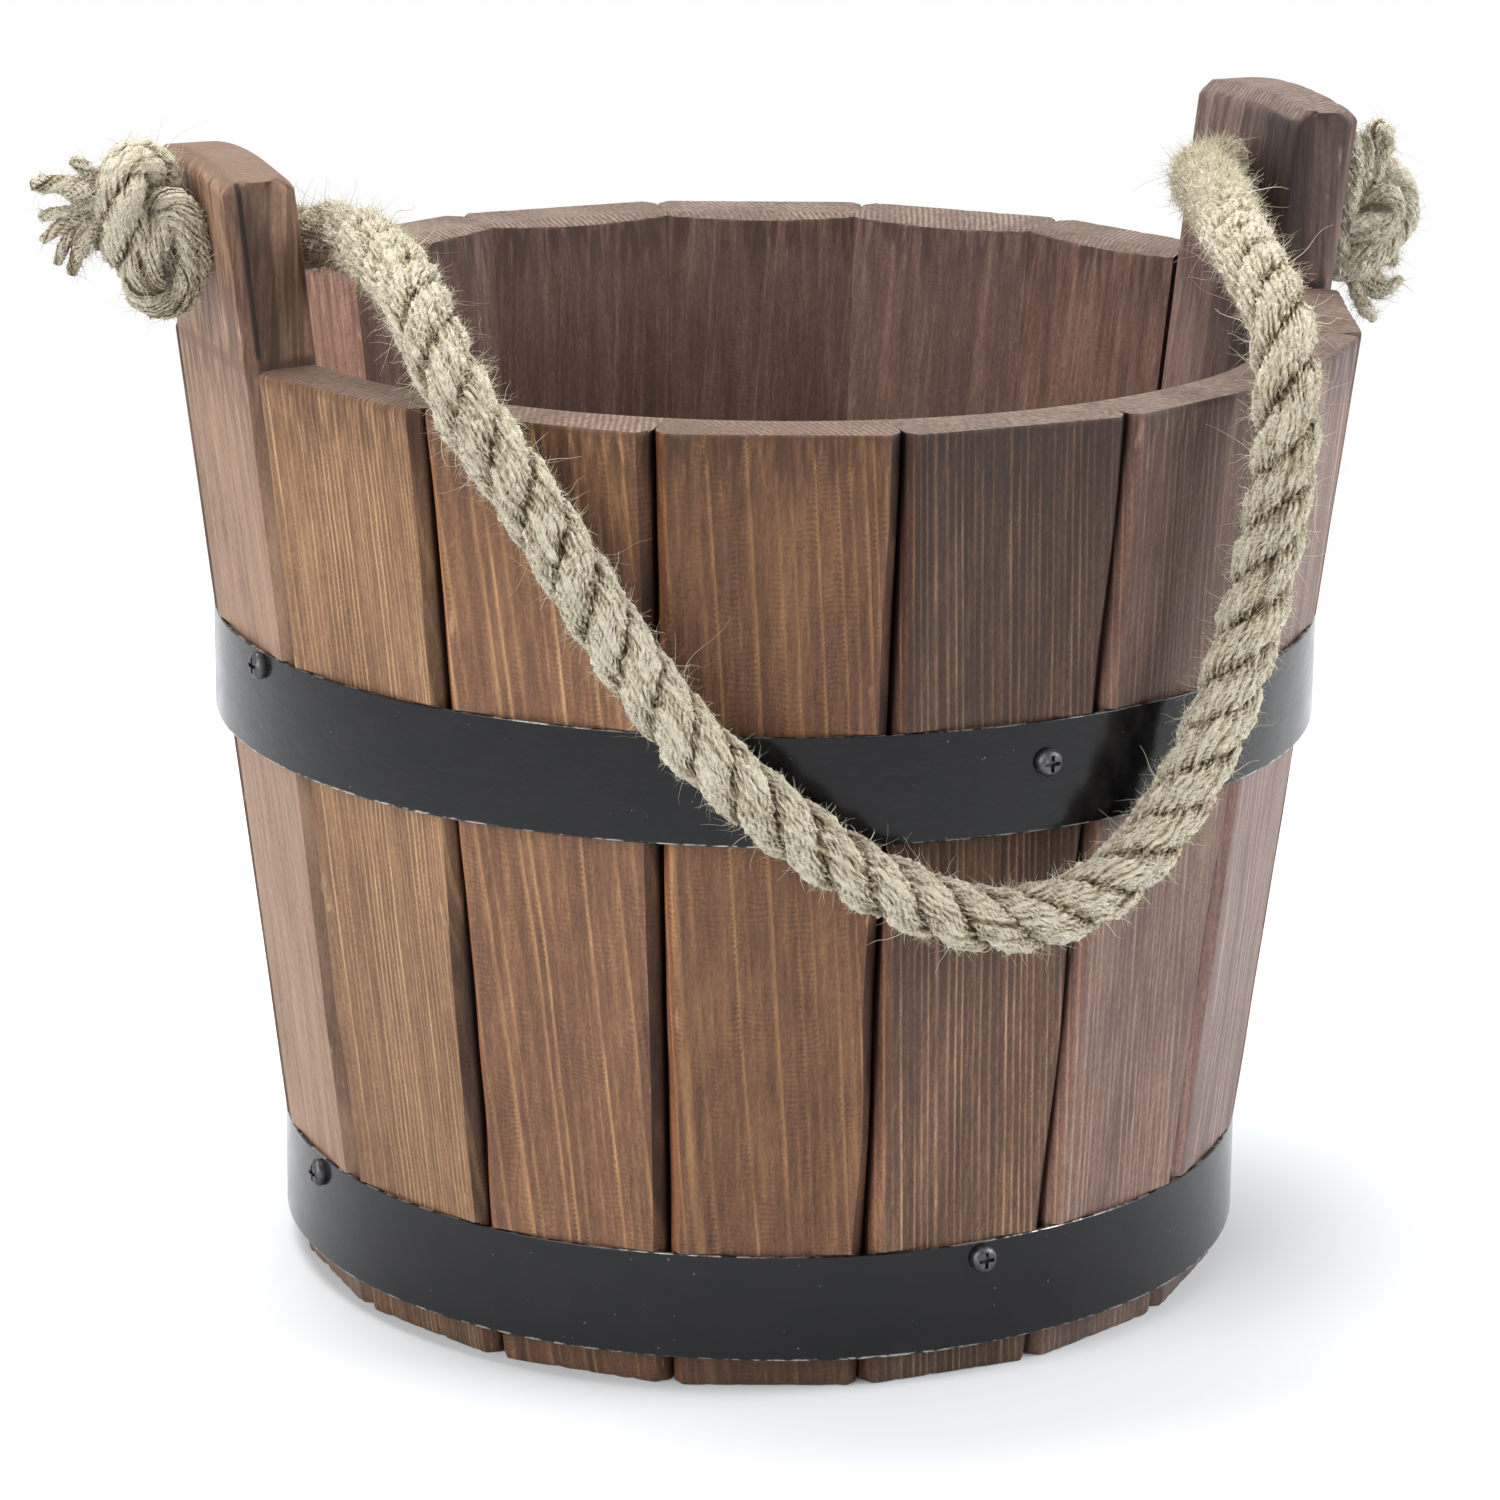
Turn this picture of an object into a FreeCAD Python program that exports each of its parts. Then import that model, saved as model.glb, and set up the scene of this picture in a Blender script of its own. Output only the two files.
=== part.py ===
# Round wooden tub for plants: tapered staves held by two steel hoops, with a rope handle through two
# raised ears. Millimetres and degrees, +Z up, origin under the middle of the tub, ears on the X axis.
import FreeCAD, Part
import math
import os
from FreeCAD import Vector

# Tub: the flats are the staves' outer faces.
body_height = 250.0
rim_across_flats = 302.0
base_across_flats = 242.0
stave_count = 16
stave_thickness = 19.5
stave_edge_chamfer = 3.5
stave_joint_gap = 0.1
rim_flat_width = 15.5
rim_bevel_angle = 22.0

# Ears: two opposite staves that stand above the rim.
ear_rise = 49.5
ear_crown = 3.0
ear_top_bevel = 3.5
ear_hole_rise = 27.5

# Floor: boards edge to edge, with their rim in a groove round the staves.
floor_height = 20.0
floor_thickness = 15.0
floor_board_count = 4
floor_board_gap = 0.3
floor_bevel_run = 10.0
croze_width = 8.0
croze_depth = 6.0
croze_clearance = 0.2

# Hoops: straight steel strip, bent round and lapped on itself at the back.
hoop_width = 28.0
hoop_thickness = 1.2
hoop_fit = 0.05
hoop_seat_depth = 1.6
hoop_lap_length = 36.0
hoop_jog_length = 8.0
lower_hoop_height = 8.5
upper_hoop_height = 147.0

# Hoop screws: the first is in front, the others follow at equal steps, and the third holds the lap.
# A drop is measured from the hoop's top edge; the hidden screws are on the right and at the back.
upper_screw_start = -85.0
upper_front_drop = 10.5
upper_left_drop = 3.8
upper_hidden_drop = 8.0
lower_screw_start = -87.3
lower_front_drop = 4.6
lower_left_drop = 4.8
lower_hidden_drop = 6.5
lap_screw = 2
screw_head_diameter = 7.0
screw_head_height = 2.4
screw_head_edge = 0.7
screw_shank_diameter = 3.5
screw_shank_length = 13.0
screw_tip_length = 3.0
screw_fit = 0.05
recess_span = 4.2
recess_width = 1.0
recess_depth = 1.3

# Rope: its free stretch runs from ear to ear over the front rim; the points lie on its middle line.
rope_diameter = 16.0
rope_hole_clearance = 0.6
rope_split_gap = 0.3
rope_bend_share = 0.45
rope_route = (
    (-133.5, 0.0, 277.5),
    (-125.8, -3.6, 278.0),
    (-120.6, -10.5, 278.4),
    (-118.4, -20.4, 278.8),
    (-119.5, -33.0, 278.9),
    (-121.5, -51.0, 278.5),
    (-124.0, -70.0, 277.3),
    (-127.0, -88.0, 273.8),
    (-127.0, -101.0, 264.5),
    (-122.5, -111.0, 251.5),
    (-114.0, -119.5, 237.5),
    (-101.5, -128.0, 213.5),
    (-85.5, -136.0, 185.0),
    (-62.0, -145.5, 160.0),
    (-34.0, -151.5, 139.5),
    (-6.0, -154.5, 128.0),
    (21.0, -153.0, 131.0),
    (41.5, -150.5, 147.0),
    (56.0, -148.0, 169.5),
    (65.0, -147.5, 196.0),
    (69.0, -149.5, 220.0),
    (69.5, -153.0, 239.0),
    (70.2, -151.3, 252.8),
    (72.8, -144.3, 264.7),
    (74.5, -133.5, 273.1),
    (78.6, -115.5, 277.6),
    (87.0, -91.0, 279.0),
    (98.0, -65.0, 279.2),
    (108.5, -40.0, 279.0),
    (115.0, -23.0, 278.6),
    (119.2, -10.8, 278.2),
    (125.6, -3.4, 277.8),
    (133.5, 0.0, 277.5),
)

# Knots: each is a ring turn and a wrap turn round the rope, with the frayed tail flaring out.
# Places are (out from the ear's face, across, up from the hole), and so are directions.
knot_rope_diameter = 13.0
knot_seat_gap = 0.3
knot_turn_radius = 11.0
knot_core_length = 18.0
tail_length = 30.0
tail_end_diameter = 22.0
left_knot = {
    "ring_centre": (17.3, -8.2, -4.5), "ring_axis": (0.3, -1.0, 0.15),
    "wrap_centre": (16.0, 1.0, 8.0), "wrap_axis": (1.0, 0.1, 0.0),
    "tail_start": (18.0, 0.0, 3.0), "tail_axis": (1.0, -0.05, 0.1),
}
right_knot = {
    "ring_centre": (19.5, 2.0, -7.0), "ring_axis": (0.2, 0.1, 1.0),
    "wrap_centre": (13.0, 2.0, 2.0), "wrap_axis": (1.0, 0.2, 0.1),
    "tail_start": (17.0, 0.0, -10.0), "tail_axis": (0.25, -0.1, -1.0),
}

# Worked out from the sizes above.
tub_axis = Vector(0, 0, 1)
half_pitch = math.pi / stave_count
taper = (rim_across_flats - base_across_flats) / 2 / body_height
wall = stave_thickness * math.hypot(1, taper)
ear_axis_height = body_height + ear_hole_rise
knot_rope_radius = knot_rope_diameter / 2
upper_screw_drops = (upper_front_drop, upper_hidden_drop, upper_hidden_drop, upper_left_drop)
lower_screw_drops = (lower_front_drop, lower_hidden_drop, lower_hidden_drop, lower_left_drop)


def outer_flat(z):
    return base_across_flats / 2 + taper * z


def inner_flat(z):
    return outer_flat(z) - wall


def half_width(x):
    return x * math.tan(half_pitch) - stave_joint_gap / 2 / math.cos(half_pitch)


def polygon(points):
    return Part.makePolygon(list(points) + [points[0]])


def prism(points, direction):
    return Part.Face(polygon(points)).extrude(direction)


def turned(profile):
    return Part.Face(profile).revolve(Vector(0, 0, 0), tub_axis, 360)


def placed_round(shape, angle):
    shape.rotate(Vector(0, 0, 0), tub_axis, angle)
    return shape


# Staves

def stave_section(z):
    outer = outer_flat(z)
    inner = inner_flat(z)
    shoulder = outer - stave_edge_chamfer
    face_edge = half_width(outer) - stave_edge_chamfer
    half = [(inner, half_width(inner)), (shoulder, half_width(shoulder)), (outer, face_edge)]
    points = [Vector(x, -y, z) for x, y in half] + [Vector(x, y, z) for x, y in reversed(half)]
    return polygon(points)


def stave_blank(height):
    return Part.makeLoft([stave_section(0), stave_section(height)], True, True)


croze_middle = floor_height + floor_thickness / 2
croze_radius = inner_flat(croze_middle) + croze_depth
croze_cut = Part.makeCylinder(croze_radius, croze_width, Vector(0, 0, croze_middle - croze_width / 2))

# The rim is bevelled inwards on a lathe: the cutter is a cone that leaves a level flat of even width.
rim_bevel_radius = outer_flat(body_height) - rim_flat_width
rim_bevel_depth = rim_bevel_radius * math.tan(math.radians(rim_bevel_angle))
rim_cut = Part.makeCone(0, rim_bevel_radius, rim_bevel_depth, Vector(0, 0, body_height - rim_bevel_depth))


# The corners are dressed round where the hoops sit, so that the hoops draw tight on every stave.
def seat_radius(bottom):
    outer = outer_flat(bottom + hoop_width)
    return math.hypot(outer, half_width(outer) - stave_edge_chamfer) - hoop_seat_depth


def seat_cut(bottom):
    around = Part.makeCylinder(rim_across_flats, hoop_width, Vector(0, 0, bottom))
    return around.cut(Part.makeCylinder(seat_radius(bottom), hoop_width, Vector(0, 0, bottom)))


hoop_seats = [seat_cut(bottom) for bottom in (lower_hoop_height, upper_hoop_height)]


def plain_stave():
    return stave_blank(body_height).cut([croze_cut, rim_cut] + hoop_seats)


def ear_stave():
    top = body_height + ear_rise
    reach = outer_flat(top)
    side = half_width(reach)
    blank = stave_blank(top)
    crown = Part.Arc(Vector(0, -side, top - ear_crown), Vector(0, 0, top), Vector(0, side, top - ear_crown))
    sides = polygon_with_arc(crown, [Vector(0, side, 0), Vector(0, -side, 0)])
    crowned = blank.common(Part.Face(sides).extrude(Vector(reach, 0, 0)))
    bevel = ear_top_bevel
    outline = [
        Vector(0, -side, 0), Vector(reach, -side, 0), Vector(reach, -side, top - bevel),
        Vector(reach - bevel, -side, top), Vector(reach - wall + bevel, -side, top),
        Vector(reach - wall, -side, top - bevel), Vector(0, -side, top - bevel),
    ]
    bevelled = crowned.common(prism(outline, Vector(0, 2 * side, 0)))
    hole = Part.makeCylinder(
        rope_diameter / 2 + rope_hole_clearance, reach, Vector(0, 0, ear_axis_height), Vector(1, 0, 0))
    return bevelled.cut([croze_cut, hole] + hoop_seats)


def polygon_with_arc(arc, corners):
    points = [arc.EndPoint] + corners + [arc.StartPoint]
    edges = [Part.LineSegment(a, b).toShape() for a, b in zip(points, points[1:])]
    return Part.Wire([arc.toShape()] + edges)


# Floor

def floor_disc():
    edge = croze_radius - croze_clearance
    shoulder = inner_flat(floor_height) - croze_clearance
    inner = shoulder - floor_bevel_run
    low = croze_middle - croze_width / 2 + croze_clearance
    high = croze_middle + croze_width / 2 - croze_clearance
    top = floor_height + floor_thickness
    half = [(0, floor_height), (inner, floor_height), (shoulder, low), (edge, low), (edge, high),
            (shoulder, high), (inner, top), (0, top)]
    return turned(polygon([Vector(r, 0, z) for r, z in half]))


def floor_boards():
    disc = floor_disc()
    reach = croze_radius
    pitch = 2 * reach / floor_board_count
    boards = []
    for place in range(floor_board_count):
        corner = Vector(-reach, -reach + place * pitch + floor_board_gap / 2, 0)
        slab = Part.makeBox(2 * reach, pitch - floor_board_gap, body_height, corner)
        boards.append(disc.common(slab))
    return boards


# Hoops and their screws

def on_circle(radius, angle):
    return Vector(radius * math.cos(angle), radius * math.sin(angle), 0)


def hoop_radius(bottom):
    return seat_radius(bottom) + hoop_fit


def arc_edge(radius, start, end):
    points = [on_circle(radius, start), on_circle(radius, (start + end) / 2), on_circle(radius, end)]
    return Part.Arc(*points).toShape()


def line_edge(radius_a, angle_a, radius_b, angle_b):
    return Part.LineSegment(on_circle(radius_a, angle_a), on_circle(radius_b, angle_b)).toShape()


def hoop(bottom, screws):
    inner = hoop_radius(bottom)
    outer = inner + hoop_thickness
    lap_inner = outer + hoop_fit
    lap_outer = lap_inner + hoop_thickness
    lap = hoop_lap_length / inner
    start = math.radians(screws[lap_screw]["angle"]) - lap / 2
    closed = start + 2 * math.pi
    jog = closed - hoop_jog_length / inner
    end = closed + lap
    outline = Part.Wire([
        arc_edge(outer, start, jog), line_edge(outer, jog, lap_outer, closed),
        arc_edge(lap_outer, closed, end), line_edge(lap_outer, end, lap_inner, end),
        arc_edge(lap_inner, end, closed), line_edge(lap_inner, closed, inner, jog),
        arc_edge(inner, jog, start), line_edge(inner, start, outer, start),
    ])
    outline.translate(Vector(0, 0, bottom))
    band = Part.Face(outline).extrude(Vector(0, 0, hoop_width))
    for screw in screws:
        band = band.cut(screw_hole(screw))
    return band


def hoop_screws(bottom, first_angle, drops):
    surface = hoop_radius(bottom) + hoop_thickness
    screws = []
    for place, drop in enumerate(drops):
        lap_layer = hoop_fit + hoop_thickness if place == lap_screw else 0
        screws.append({
            "angle": first_angle + place * 360 / len(drops),
            "height": bottom + hoop_width - drop,
            "seat": surface + lap_layer + screw_fit,
        })
    return screws


def put_in_hoop(shape, screw):
    shape.rotate(Vector(0, 0, 0), Vector(0, 1, 0), 90)
    shape.translate(Vector(screw["seat"], 0, screw["height"]))
    return placed_round(shape, screw["angle"])


def screw_hole(screw):
    radius = screw_shank_diameter / 2 + screw_fit
    deep = screw_shank_length + screw_fit
    hole = Part.makeCylinder(radius, deep + screw_head_height, Vector(0, 0, -deep))
    return put_in_hoop(hole, screw)


def screw_solid(screw):
    head_radius = screw_head_diameter / 2
    shank_radius = screw_shank_diameter / 2
    neck = screw_shank_length - screw_tip_length
    head = Part.makeCylinder(head_radius, screw_head_height)
    top_edge = [edge for edge in head.Edges if edge.CenterOfMass.z > screw_head_height - screw_head_edge]
    head = head.makeFillet(screw_head_height - screw_head_edge, top_edge)
    shank = Part.makeCylinder(shank_radius, neck, Vector(0, 0, -neck))
    tip = Part.makeCone(0, shank_radius, screw_tip_length, Vector(0, 0, -screw_shank_length))
    recess_floor = screw_head_height - recess_depth
    slots = []
    for long, wide in ((recess_span, recess_width), (recess_width, recess_span)):
        slots.append(Part.makeBox(long, wide, recess_depth, Vector(-long / 2, -wide / 2, recess_floor)))
    recess = slots[0].fuse(slots[1]).removeSplitter()
    solid = head.multiFuse([shank, tip]).removeSplitter().cut(recess)
    return put_in_hoop(solid, screw)


# Rope

def bent_path(points):
    edges = []
    radii = []
    last = points[0]
    for before, corner, after in zip(points, points[1:], points[2:]):
        into = corner - before
        out = after - corner
        cut = rope_bend_share * min(into.Length, out.Length)
        half_turn = into.getAngle(out) / 2
        radius = cut / math.tan(half_turn)
        radii.append(radius)
        start = corner - into.normalize() * cut
        end = corner + out.normalize() * cut
        inward = (start + end) * 0.5 - corner
        middle = corner + inward.normalize() * (radius / math.cos(half_turn) - radius)
        edges.append(Part.LineSegment(last, start).toShape())
        edges.append(Part.Arc(start, middle, end).toShape())
        last = end
    edges.append(Part.LineSegment(last, points[-1]).toShape())
    return Part.Wire(edges), radii


def rope_tube(points, diameter):
    path, radii = bent_path(points)
    along = points[1] - points[0]
    ring = Part.Wire(Part.makeCircle(diameter / 2, points[0], along))
    tube = path.makePipeShell([ring], True, False)
    print("rope length", round(path.Length, 1), "bend radii", [round(radius) for radius in radii])
    print("rope volume", round(tube.Volume), "of", round(math.pi * diameter ** 2 / 4 * path.Length))
    return tube


def rope_handle():
    end = (outer_flat(ear_axis_height) + inner_flat(ear_axis_height)) / 2 - rope_split_gap / 2
    left_end = Vector(-end, 0, ear_axis_height)
    right_end = Vector(end, 0, ear_axis_height)
    route = [Vector(*point) for point in rope_route]
    return rope_tube([left_end] + route + [right_end], rope_diameter)


def knot(side, form):
    face = outer_flat(ear_axis_height)

    def place(point):
        return Vector(side * (face + knot_seat_gap + point[0]), point[1], ear_axis_height + point[2])

    def direction(point):
        return Vector(side * point[0], point[1], point[2])

    def turn(centre, axis):
        return Part.makeTorus(knot_turn_radius, knot_rope_radius, place(centre), direction(axis))

    end = (face + inner_flat(ear_axis_height)) / 2 + rope_split_gap / 2
    start = Vector(side * end, 0, ear_axis_height)
    core_length = face + knot_core_length - end
    core = Part.makeCylinder(rope_diameter / 2, core_length, start, Vector(side, 0, 0))
    ring = turn(form["ring_centre"], form["ring_axis"])
    wrap = turn(form["wrap_centre"], form["wrap_axis"])
    tail_end_radius = tail_end_diameter / 2
    tail_start = place(form["tail_start"])
    tail_axis = direction(form["tail_axis"])
    tail = Part.makeCone(knot_rope_radius, tail_end_radius, tail_length, tail_start, tail_axis)
    return core.multiFuse([ring, wrap, tail]).removeSplitter()


# The whole tub, node by node

def build():
    upper_screws = hoop_screws(upper_hoop_height, upper_screw_start, upper_screw_drops)
    lower_screws = hoop_screws(lower_hoop_height, lower_screw_start, lower_screw_drops)
    nodes = {
        "hoop_upper": hoop(upper_hoop_height, upper_screws),
        "hoop_lower": hoop(lower_hoop_height, lower_screws),
        "hoop_screws_upper": Part.makeCompound([screw_solid(screw) for screw in upper_screws]),
        "hoop_screws_lower": Part.makeCompound([screw_solid(screw) for screw in lower_screws]),
        "rope_handle": rope_handle(),
        "rope_knot_left": knot(-1, left_knot),
        "rope_knot_right": knot(1, right_knot),
    }
    plain_number = 0
    for place in range(stave_count):
        angle = place * 360 / stave_count
        if place == 0:
            name = "ear_stave_right"
        elif 2 * place == stave_count:
            name = "ear_stave_left"
        else:
            plain_number += 1
            name = f"stave_{plain_number:02d}"
        stave = placed_round(ear_stave() if name.startswith("ear") else plain_stave(), angle)
        for screw in upper_screws + lower_screws:
            off = (screw["angle"] - angle + 180) % 360 - 180
            if abs(off) < 360 / stave_count:
                stave = stave.cut(screw_hole(screw))
        nodes[name] = stave
    for number, board in enumerate(floor_boards(), 1):
        nodes[f"floor_board_{number}"] = board
    return nodes


os.makedirs("parts", exist_ok=True)
for name, shape in build().items():
    shape.exportStep(f"parts/{name}.step")
    print(name, "solids", len(shape.Solids), "volume", round(shape.Volume), "valid", shape.isValid())
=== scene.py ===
import math
import bpy
import numpy as np
from mathutils import Matrix, Vector


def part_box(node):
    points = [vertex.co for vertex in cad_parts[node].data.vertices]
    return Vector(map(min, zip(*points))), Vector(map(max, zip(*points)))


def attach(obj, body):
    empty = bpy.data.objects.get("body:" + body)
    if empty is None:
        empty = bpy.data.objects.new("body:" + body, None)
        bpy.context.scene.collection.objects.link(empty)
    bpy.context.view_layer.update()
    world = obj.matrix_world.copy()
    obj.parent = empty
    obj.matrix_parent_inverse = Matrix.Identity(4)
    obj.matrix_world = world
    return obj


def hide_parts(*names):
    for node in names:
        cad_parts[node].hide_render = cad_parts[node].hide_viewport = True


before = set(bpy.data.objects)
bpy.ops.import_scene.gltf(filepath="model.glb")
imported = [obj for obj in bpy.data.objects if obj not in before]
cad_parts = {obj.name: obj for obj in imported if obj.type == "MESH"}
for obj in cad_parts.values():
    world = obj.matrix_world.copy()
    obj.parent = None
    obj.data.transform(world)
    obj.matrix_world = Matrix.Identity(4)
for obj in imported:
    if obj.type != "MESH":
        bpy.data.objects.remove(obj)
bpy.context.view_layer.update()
scene = bpy.context.scene
print("frame loaded:", len(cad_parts), "nodes")


# Node helpers

def feed(socket, value):
    if isinstance(value, bpy.types.NodeSocket):
        socket.id_data.links.new(value, socket)
    else:
        socket.default_value = value


def feedAll(node, inputs):
    for key, value in inputs.items():
        feed(node.inputs[key], value)


def treeOf(*values):  # node tree of the first value that is a socket
    return next(value.id_data for value in values if isinstance(value, bpy.types.NodeSocket))


def addNode(tree, kind, inputs=None, **settings):
    made = tree.nodes.new("ShaderNode" + kind)
    for key, value in settings.items():
        setattr(made, key, value)
    feedAll(made, inputs or {})
    return made


def calc(operation, *values):
    made = addNode(treeOf(*values), "Math", operation=operation)
    for socket, value in zip(made.inputs, values):
        feed(socket, value)
    return made.outputs[0]


def times(first, *others):
    product = first
    for other in others:
        product = calc("MULTIPLY", product, other)
    return product


def weighted(start, *parts):  # start, plus each value times its weight
    total = start
    for value, weight in parts:
        total = calc("MULTIPLY_ADD", value, weight, total)
    return total


def fade(value, low, high, outLow=0.0, outHigh=1.0):
    settings = {"Value": value, "From Min": low, "From Max": high, "To Min": outLow, "To Max": outHigh}
    return addNode(treeOf(value), "MapRange", settings, interpolation_type="SMOOTHSTEP").outputs[0]


def mixed(factor, first, second, blend="MIX"):
    made = addNode(treeOf(factor, first, second), "Mix", data_type="RGBA", blend_type=blend)
    feedAll(made, {0: factor, 6: first, 7: second})
    return made.outputs[2]


# paints light and shade: multiplies the colour by the given colour over the share
def paintLight(share, colour, shading):
    return mixed(share, colour, mixed(1.0, colour, shading, "MULTIPLY"))


def ramp(factor, stops, interpolation="LINEAR"):
    made = addNode(treeOf(factor), "ValToRGB", {"Fac": factor})
    band = made.color_ramp
    band.interpolation = interpolation
    while len(band.elements) < len(stops):
        band.elements.new(0.5)
    for element, (place, colour) in zip(band.elements, stops):
        element.position = place
        element.color = colour if hasattr(colour, "__len__") else (colour, colour, colour, 1)
    return made.outputs[0]


def splitAxes(vector):
    return tuple(addNode(treeOf(vector), "SeparateXYZ", {"Vector": vector}).outputs)


def localPlace(tree):
    return splitAxes(addNode(tree, "TexCoord").outputs["Object"])


def grainNoise(place, sizes, seed, detail):
    parts = [weighted(seed, (part, 1 / size)) if part else seed for part, size in zip(place, sizes)]
    tree = treeOf(*place)
    vector = addNode(tree, "CombineXYZ", dict(zip("XYZ", parts))).outputs[0]
    settings = {"Vector": vector, "Scale": 1.0, "Detail": detail, "Roughness": 0.55}
    return addNode(tree, "TexNoise", settings).outputs[0]


def allNoises(place, kinds, seed=0.0, spread=1.0):
    made = {}
    for name, (sizes, shift, detail) in kinds.items():
        made[name] = grainNoise(place, sizes, seed + spread * shift, detail)
    return made


def rgb(red, green, blue):
    def linear(part):
        part /= 255
        return part / 12.92 if part <= 0.04045 else ((part + 0.055) / 1.055) ** 2.4
    return (linear(red), linear(green), linear(blue), 1.0)


def newMaterial(name):
    material = bpy.data.materials.new(name)
    material.use_nodes = True
    tree = material.node_tree
    return material, tree, tree.nodes["Principled BSDF"]


def addBump(shader, height, strength, distance):
    settings = {"Strength": strength, "Distance": distance, "Height": height}
    feed(shader.inputs["Normal"], addNode(treeOf(height), "Bump", settings).outputs[0])


# Mesh helpers

def addMesh(name, points, faces):
    mesh = bpy.data.meshes.new(name)
    mesh.from_pydata(np.asarray(points).tolist(), [], faces)
    made = bpy.data.objects.new(name, mesh)
    scene.collection.objects.link(made)
    return made


def smooth(mesh, angle):
    mesh.polygons.foreach_set("use_smooth", [True] * len(mesh.polygons))
    mesh.set_sharp_from_angle(angle=math.radians(angle))


def addPiece(name, points, faces, material, body, smoothAngle=40):
    piece = addMesh(name, points, faces)
    piece.data.validate()
    smooth(piece.data, smoothAngle)
    piece.data.update()
    piece.data.materials.append(material)
    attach(piece, body)
    return piece


def coatNode(name, material):
    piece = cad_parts[name]
    piece.data.materials.clear()
    piece.data.materials.append(material)


def tubeFaces(rings, around, start=0):
    rows = start + around * np.arange(rings - 1)[:, None]
    steps = np.arange(around)
    ahead = (steps + 1) % around
    quads = [rows + steps, rows + ahead, rows + around + ahead, rows + around + steps]
    return np.stack(quads, -1).reshape(-1, 4).tolist()


def setShade(piece, values):
    layer = piece.data.attributes.new("toneAndShade", "FLOAT", "POINT")
    layer.data.foreach_set("value", np.asarray(values, np.float32))


def waves(seed, count, shortest, longest):
    rng = np.random.default_rng(seed)
    lengths = rng.uniform(shortest, longest, count)
    phases = rng.uniform(0, 2 * math.pi, count)
    heights = rng.uniform(0.5, 1.0, count)
    heights /= heights.sum()

    def at(place):
        place = np.asarray(place, float)[..., None]
        return (heights * np.sin(2 * math.pi * place / lengths + phases)).sum(-1)
    return at


def wobble(rng, shape, places):  # shape: height of the waves, their count, shortest and longest
    height, *lengths = shape
    return height * waves(int(rng.integers(1e6)), *lengths)(places)


# Staves: tapered boards, planed and stained

backStaveLow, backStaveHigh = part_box("stave_04")
tub = {
    "staves": 16,
    "height": backStaveHigh.z,
    "rimFlat": backStaveHigh.y,  # tub axis to a stave's outer face, at the rim
    "baseFlat": 0.121,  # and at the base
    "baseInner": backStaveLow.y,
    "rimWidth": 0.0155,  # level part of the rim
    "rimBevel": 22.0,  # slope of the rim's inner bevel, degrees
    "earCrown": 0.003,
    "crownReach": 0.02,  # how far down an ear its crown fades out
    "earInnerRound": 0.0035,
    "earBevel": 0.0035,
    "earHole": 0.0086,
    "earHoleHeight": 0.2775,
    "chamfer": 0.0035,
    "chamferWobble": 0.0008,
    "crease": 0.00055,  # half the slit between two staves, at its mouth
    "faceWobble": 0.00016,
    "edgeRound": 0.0004,
    "faceStart": 0.0009,  # from the chamfer to the face's first column
    "hoopBand": 0.028,
    "hoopSeat": 0.0016,
    "jointGap": 0.00005,
}
chips = {  # torn wood at the staves' ends
    "depth": 0.0021,
    "rimStart": 0.15,
    "rimReach": 0.0012,
    "footStart": 0.1,
    "footReach": 0.0014,
    "footShare": 0.8,
    "footShift": 0.3,
    "soft": 0.0005,  # rounding of the end's outer edge
    "softRim": 0.0005,
    "softFoot": 0.0006,
}
staveGrid = {
    "ends": (0, 0.0003, 0.0007, 0.0011, 0.0015, 0.0019, 0.0027, 0.004, 0.006),  # rows near an end
    "first": 0.008,
    "last": 0.0075,
    "step": 0.0028,
    "besideSeat": 0.0001,
    "faceColumns": 22,
    "sideRows": 6,
    "slit": ((0.0055, 0.0), (0.0032, 0.3), (0.0016, 0.6), (0.0005, 0.85)),  # depth, share of the crease
    "chamfer": (0.06, 0.35, 0.72),
}
staveBumps = {  # count, shortest and longest of the waves
    "edge": (5, 0.03, 0.16),
    "face": (5, 0.02, 0.09),
    "cup": (3, 0.03, 0.09),
    "chip": (7, 0.002, 0.011),
}
halfPitch = math.pi / tub["staves"]
taper = (tub["rimFlat"] - tub["baseFlat"]) / tub["height"]
wall = tub["baseFlat"] - tub["baseInner"]
hoopBottoms = {name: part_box(name)[0].z for name in ("hoop_lower", "hoop_upper")}


def outerFlat(z):
    return tub["baseFlat"] + taper * z


def halfWidth(x):
    return x * math.tan(halfPitch) - tub["jointGap"] / math.cos(halfPitch)


def seatRadius(bottom):
    outer = outerFlat(bottom + tub["hoopBand"])
    return math.hypot(outer, halfWidth(outer) - tub["chamfer"]) - tub["hoopSeat"]


def staveLevels(top):
    ends = np.array(staveGrid["ends"])
    middle = np.arange(staveGrid["first"], top - staveGrid["last"], staveGrid["step"])
    steps = [ends, middle, top - ends[::-1]]
    beside = np.array([-staveGrid["besideSeat"], staveGrid["besideSeat"]])
    for bottom in hoopBottoms.values():
        steps += [bottom + beside, bottom + tub["hoopBand"] + beside]
    return np.unique(np.round(np.concatenate(steps), 6))


def chamferChain(outer, cut):
    shoulder = outer - cut
    faceEdge = halfWidth(outer) - cut
    run = halfWidth(shoulder) - faceEdge - tub["crease"]
    chain = []
    for depth, share in staveGrid["slit"]:
        chain.append((shoulder - depth, halfWidth(shoulder - depth) - tub["crease"] * share))
    for share in staveGrid["chamfer"]:
        chain.append((shoulder + cut * share, faceEdge + run * (1 - share)))
    chain.append((outer - tub["edgeRound"] * 0.45, faceEdge + tub["edgeRound"] * 0.1))
    chain.append((outer, faceEdge - tub["faceStart"]))
    return chain


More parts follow.
